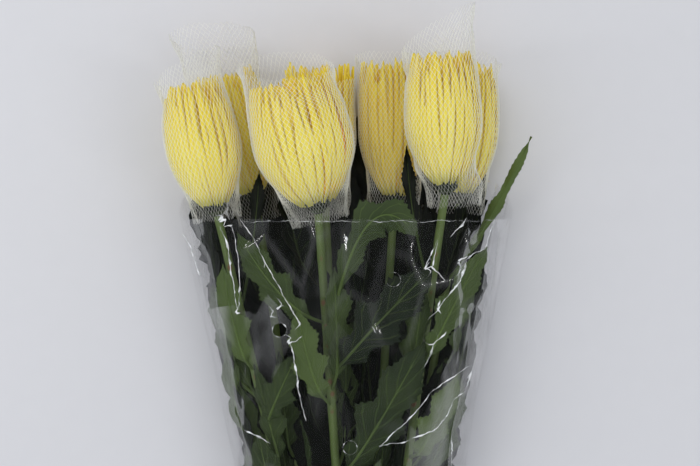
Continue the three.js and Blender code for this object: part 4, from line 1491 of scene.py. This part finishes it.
def add_vent_lip(bm, x, y, settings):
    """Adds the lip of one vent hole, thicker in places, where it shows as a painted glint."""
    for vertex in rolled_tube(bm, FOLD_SIDES, VENT_RIM_STEPS):
        turn = math.tau * vertex.co.y
        angle = round_angle(vertex)
        around = Vector((math.cos(turn) + x, math.sin(turn) + y, 0)) * 1.7
        thick = VENT_LIP + VENT_LIP_SWELL * max(0.0, noise.noise(around) - 0.24)
        out = settings.vent_radius / MM + math.sin(angle) * thick
        place = film_over(x + math.cos(turn) * out, y + math.sin(turn) * out, settings)
        vertex.co = in_row(place + Vector((0, 0, math.cos(angle) * thick)))


def build_folds(settings, material):
    """The sharp folds on the film's front, and the lips of its vent holes, white as painted
    highlights.
    """
    bm = bmesh.new()
    for width, line in FILM_FOLDS:
        add_fold(bm, width, line, settings)
    for x, y in VENTS:
        add_vent_lip(bm, x, y, settings)
    bmesh.ops.remove_doubles(bm, verts=bm.verts[:], dist=PIECE_SEAM)
    return finished("film_folds", bm, [material], "film_sleeve")


# Elastic band


def build_band(settings, material):
    """The elastic band, drawn tight round the seven stems."""
    centres = [stem_point(flower, BAND_Y) for flower in FLOWERS.values()]
    half_width = settings.band_width / MM / 2
    half_thickness = settings.band_thickness / MM / 2
    middle = STEM_RADIUS_FOOT + SEAT_GAP + half_thickness
    bm = bmesh.new()
    for vertex in rolled_tube(bm, *BAND_GRID):
        turn = round_angle(vertex)
        out = ring_point(math.tau * vertex.co.y, 1, 0)
        outermost = max(centres, key=lambda centre: round(centre.dot(out), 6))
        place = outermost + out * (middle + math.cos(turn) * half_thickness)
        place.y = BAND_Y + signed_power(math.sin(turn), BAND_SQUARENESS) * half_width
        vertex.co = in_row(place)
    bmesh.ops.remove_doubles(bm, verts=bm.verts[:], dist=PIECE_SEAM)
    bmesh.ops.recalc_face_normals(bm, faces=bm.faces[:])
    return finished("band", bm, [material], "elastic_band")


# Studio


def add_floor(settings):
    """Adds the floor under the bunch."""
    bm = bmesh.new()
    bmesh.ops.create_grid(bm, x_segments=4, y_segments=4, size=FLOOR_HALF)
    linked("floor", mesh_of("floor", bm, [floor_finish(settings)]))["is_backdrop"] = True


def add_sky(settings):
    """Gives the scene an even cool light from all sides."""
    world = bpy.data.worlds.new("studio")
    world.use_nodes = True
    sky = world.node_tree.nodes["Background"]
    sky.inputs["Color"].default_value = SKY_COLOUR
    sky.inputs["Strength"].default_value = settings.sky_strength
    bpy.context.scene.world = world


def add_area_light(name, place, size, power, colour):
    """Adds a rectangular light at a place of the bunch's frame, in mm, facing the heads."""
    data = bpy.data.lights.new(name, "AREA")
    data.shape = "RECTANGLE"
    data.size, data.size_y = (side * MM for side in size)
    data.energy = power
    data.color = colour
    light = linked(name, data)
    light.location = in_row(Vector(place))
    aim = in_row(Vector(LIGHT_TARGET)) - light.location
    light.rotation_euler = aim.to_track_quat("-Z", "Y").to_euler()


def add_camera():
    """Adds the camera that looks straight down on the bunch."""
    data = bpy.data.cameras.new("camera")
    data.sensor_width = SENSOR_WIDTH
    data.lens = FOCAL_PIXELS / PICTURE_SIZE[0] * SENSOR_WIDTH
    data.clip_start = 0.05
    data.clip_end = 20
    camera = linked("camera", data)
    camera.location = in_row(CAMERA_PLACE)
    bpy.context.scene.camera = camera


# Settings, operators and panel


def colour_property(name, description, default):
    """A colour setting, given as a screen shows it."""
    return bpy.props.FloatVectorProperty(
        name=name,
        description=description,
        default=linear(default)[:3],
        min=0,
        max=1,
        subtype="COLOR",
    )


def length_property(name, description, default, low, high):
    """A length setting, given in mm and kept in metres."""
    return bpy.props.FloatProperty(
        name=name,
        description=description,
        default=default * MM,
        min=low * MM,
        max=high * MM,
        unit="LENGTH",
    )


def factor_property(name, description, default, low=0.0, high=1.0):
    """A setting that is a share or a factor."""
    return bpy.props.FloatProperty(
        name=name, description=description, default=default, min=low, max=high, subtype="FACTOR"
    )


def power_property(name, description, default):
    """A light's power setting, in watts."""
    return bpy.props.FloatProperty(
        name=name, description=description, default=default, min=0, unit="POWER"
    )


class FlowerSettings(bpy.types.PropertyGroup):
    """Settings of the heads"""

    petal_colour: colour_property("Petal", "Petals in full light", (230, 212, 50))
    petal_pale: colour_property("Pale petal", "The palest petals", (234, 224, 114))
    # Painted shade: the gold of petals that lie deep, of their edges and of the depth between
    # them.
    petal_shade_gold: colour_property("Petal gold", "Petals and edges that lie deep", (226, 182, 32))
    petal_width: factor_property("Petal width", "Width of the petals, as a factor", 1.0, 0.5, 1.5)
    petal_thickness: length_property("Petal thickness", "Thickness of a petal", 0.35, 0.1, 1)


class NetSettings(bpy.types.PropertyGroup):
    """Settings of the nets"""

    net_colour: colour_property("Net", "The net's plastic", (244, 244, 238))
    cell_width: length_property("Cell width", "Width of a net cell", 3.5, 1.5, 8)
    cell_height: length_property("Cell height", "Height of a net cell", 5.4, 2, 12)
    strand: length_property("Strand", "Thickness of a strand", 0.36, 0.1, 1)


class FoliageSettings(bpy.types.PropertyGroup):
    """Settings of the leafy stems"""

    leaf_colour: colour_property("Leaf", "Full-grown leaves", (36, 50, 28))
    # The darkest green is also the painted shade of the leaves deep in the bunch.
    leaf_dark: colour_property("Dark leaf", "The darkest green of a leaf", (8, 13, 8))
    leaf_fresh: colour_property("Fresh leaf", "Young leaves and lit undersides", (82, 99, 52))
    stem_colour: colour_property("Stem", "The stems", (74, 93, 41))


class FilmSettings(bpy.types.PropertyGroup):
    """Settings of the film sleeve"""

    flute_depth: factor_property(
        "Flute depth", "Depth of the soft folds, as a factor", 0.8, high=3.0
    )
    film_thickness: length_property("Film thickness", "Thickness of the film", 0.15, 0.05, 0.8)
    film_roughness: factor_property("Film roughness", "Roughness of the film's gloss", 0.07)
    film_haze: factor_property("Film haze", "Light that hazy streaks in the film reflect", 0.15)
    film_limit: factor_property("Film limit", "Most light that slanting film reflects", 0.16)
    film_relief: factor_property("Film relief", "Strength of the fine creases", 0.6)
    vent_radius: length_property("Vent radius", "Radius of a vent hole", 5.5, 1, 12)


class BandSettings(bpy.types.PropertyGroup):
    """Settings of the elastic band"""

    band_colour: colour_property("Band", "The elastic band's rubber", (190, 146, 92))
    band_width: length_property("Band width", "Width of the band", 4.0, 1, 10)
    band_thickness: length_property("Band thickness", "Thickness of the band", 1.1, 0.4, 3)


class StudioSettings(bpy.types.PropertyGroup):
    """Settings of the floor and the lights"""

    floor_colour: colour_property("Floor", "The plain floor", (210, 210, 214))
    sky_strength: factor_property("Sky strength", "Strength of the even light", 0.72, high=5.0)
    softbox_power: power_property("Softbox power", "Power of the main soft light", 6.4)
    strip_power: power_property("Strip power", "Power of each narrow light", 2.2)


class FLOWERS_OT_heads(bpy.types.Operator):
    """Build the seven heads of petals"""

    bl_idname = "flowers.heads"
    bl_label = "Heads"

    def execute(self, context):
        settings = context.scene.flower_settings
        materials = [petal_finish(settings), core_finish(settings)]
        for number, name in enumerate(FLOWERS):
            build_head(name, HEAD_SEED + number, settings, materials)
        return {"FINISHED"}


class FLOWERS_OT_nets(bpy.types.Operator):
    """Build the white net round each head"""

    bl_idname = "flowers.nets"
    bl_label = "Nets"

    def execute(self, context):
        settings = context.scene.net_settings
        material = net_finish(settings)
        for number, name in enumerate(FLOWERS):
            build_net(name, NET_SEED + number * NET_SEED_STEP, settings, material)
        return {"FINISHED"}


class FLOWERS_OT_foliage(bpy.types.Operator):
    """Build the seven leafy stems"""

    bl_idname = "flowers.foliage"
    bl_label = "Leafy stems"

    def execute(self, context):
        settings = context.scene.foliage_settings
        materials = [stem_finish(settings), leaf_finish(settings)]
        for number, name in enumerate(FLOWERS):
            build_foliage(name, FOLIAGE_SEED + number, materials)
        return {"FINISHED"}


class FLOWERS_OT_film(bpy.types.Operator):
    """Build the clear film sleeve and its sharp folds"""

    bl_idname = "flowers.film"
    bl_label = "Film sleeve"

    def execute(self, context):
        settings = context.scene.film_settings
        build_film(settings, film_finish(settings))
        build_folds(settings, fold_highlight_finish())
        return {"FINISHED"}


class FLOWERS_OT_band(bpy.types.Operator):
    """Build the elastic band near the cut ends"""

    bl_idname = "flowers.band"
    bl_label = "Elastic band"

    def execute(self, context):
        settings = context.scene.band_settings
        build_band(settings, band_finish(settings))
        return {"FINISHED"}


class FLOWERS_OT_studio(bpy.types.Operator):
    """Set up the floor, the lights and the camera"""

    bl_idname = "flowers.studio"
    bl_label = "Studio"

    def execute(self, context):
        settings = context.scene.studio_settings
        add_floor(settings)
        add_sky(settings)
        for name, place, size, power, colour in LIGHTS:
            add_area_light(name, place, size, getattr(settings, power), colour)
        add_camera()
        context.scene.view_settings.view_transform = "Standard"
        return {"FINISHED"}


class FLOWERS_PT_bunch(bpy.types.Panel):
    """Lists the operators and the settings in the sidebar"""

    bl_idname = "FLOWERS_PT_bunch"
    bl_label = "Chrysanthemum Bunch"
    bl_space_type = "VIEW_3D"
    bl_region_type = "UI"
    bl_category = "Flowers"

    def draw(self, context):
        for operator in OPERATORS:
            self.layout.operator(operator.bl_idname)
        for name, group in SETTINGS.items():
            box = self.layout.box()
            for key in group.__annotations__:
                box.prop(getattr(context.scene, name), key)


SETTINGS = {
    "flower_settings": FlowerSettings,
    "net_settings": NetSettings,
    "foliage_settings": FoliageSettings,
    "film_settings": FilmSettings,
    "band_settings": BandSettings,
    "studio_settings": StudioSettings,
}
OPERATORS = (
    FLOWERS_OT_heads,
    FLOWERS_OT_nets,
    FLOWERS_OT_foliage,
    FLOWERS_OT_film,
    FLOWERS_OT_band,
    FLOWERS_OT_studio,
)


def register():
    """Registers the settings, the operators and the panel."""
    for name, group in SETTINGS.items():
        bpy.utils.register_class(group)
        setattr(bpy.types.Scene, name, bpy.props.PointerProperty(type=group))
    for listed in (*OPERATORS, FLOWERS_PT_bunch):
        bpy.utils.register_class(listed)


def unregister():
    """Takes back what register() did."""
    for listed in (FLOWERS_PT_bunch, *reversed(OPERATORS)):
        bpy.utils.unregister_class(listed)
    for name, group in SETTINGS.items():
        delattr(bpy.types.Scene, name)
        bpy.utils.unregister_class(group)


def main():
    """Builds the bunch and its studio."""
    register()
    bpy.ops.flowers.heads()
    bpy.ops.flowers.nets()
    bpy.ops.flowers.foliage()
    bpy.ops.flowers.film()
    bpy.ops.flowers.band()
    bpy.ops.flowers.studio()
    boxes = {"cad": CAD_BOX, "visual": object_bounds()}
    {name: [list(corner) for corner in box] for name, box in boxes.items()}


if __name__ == "__main__":
    main()
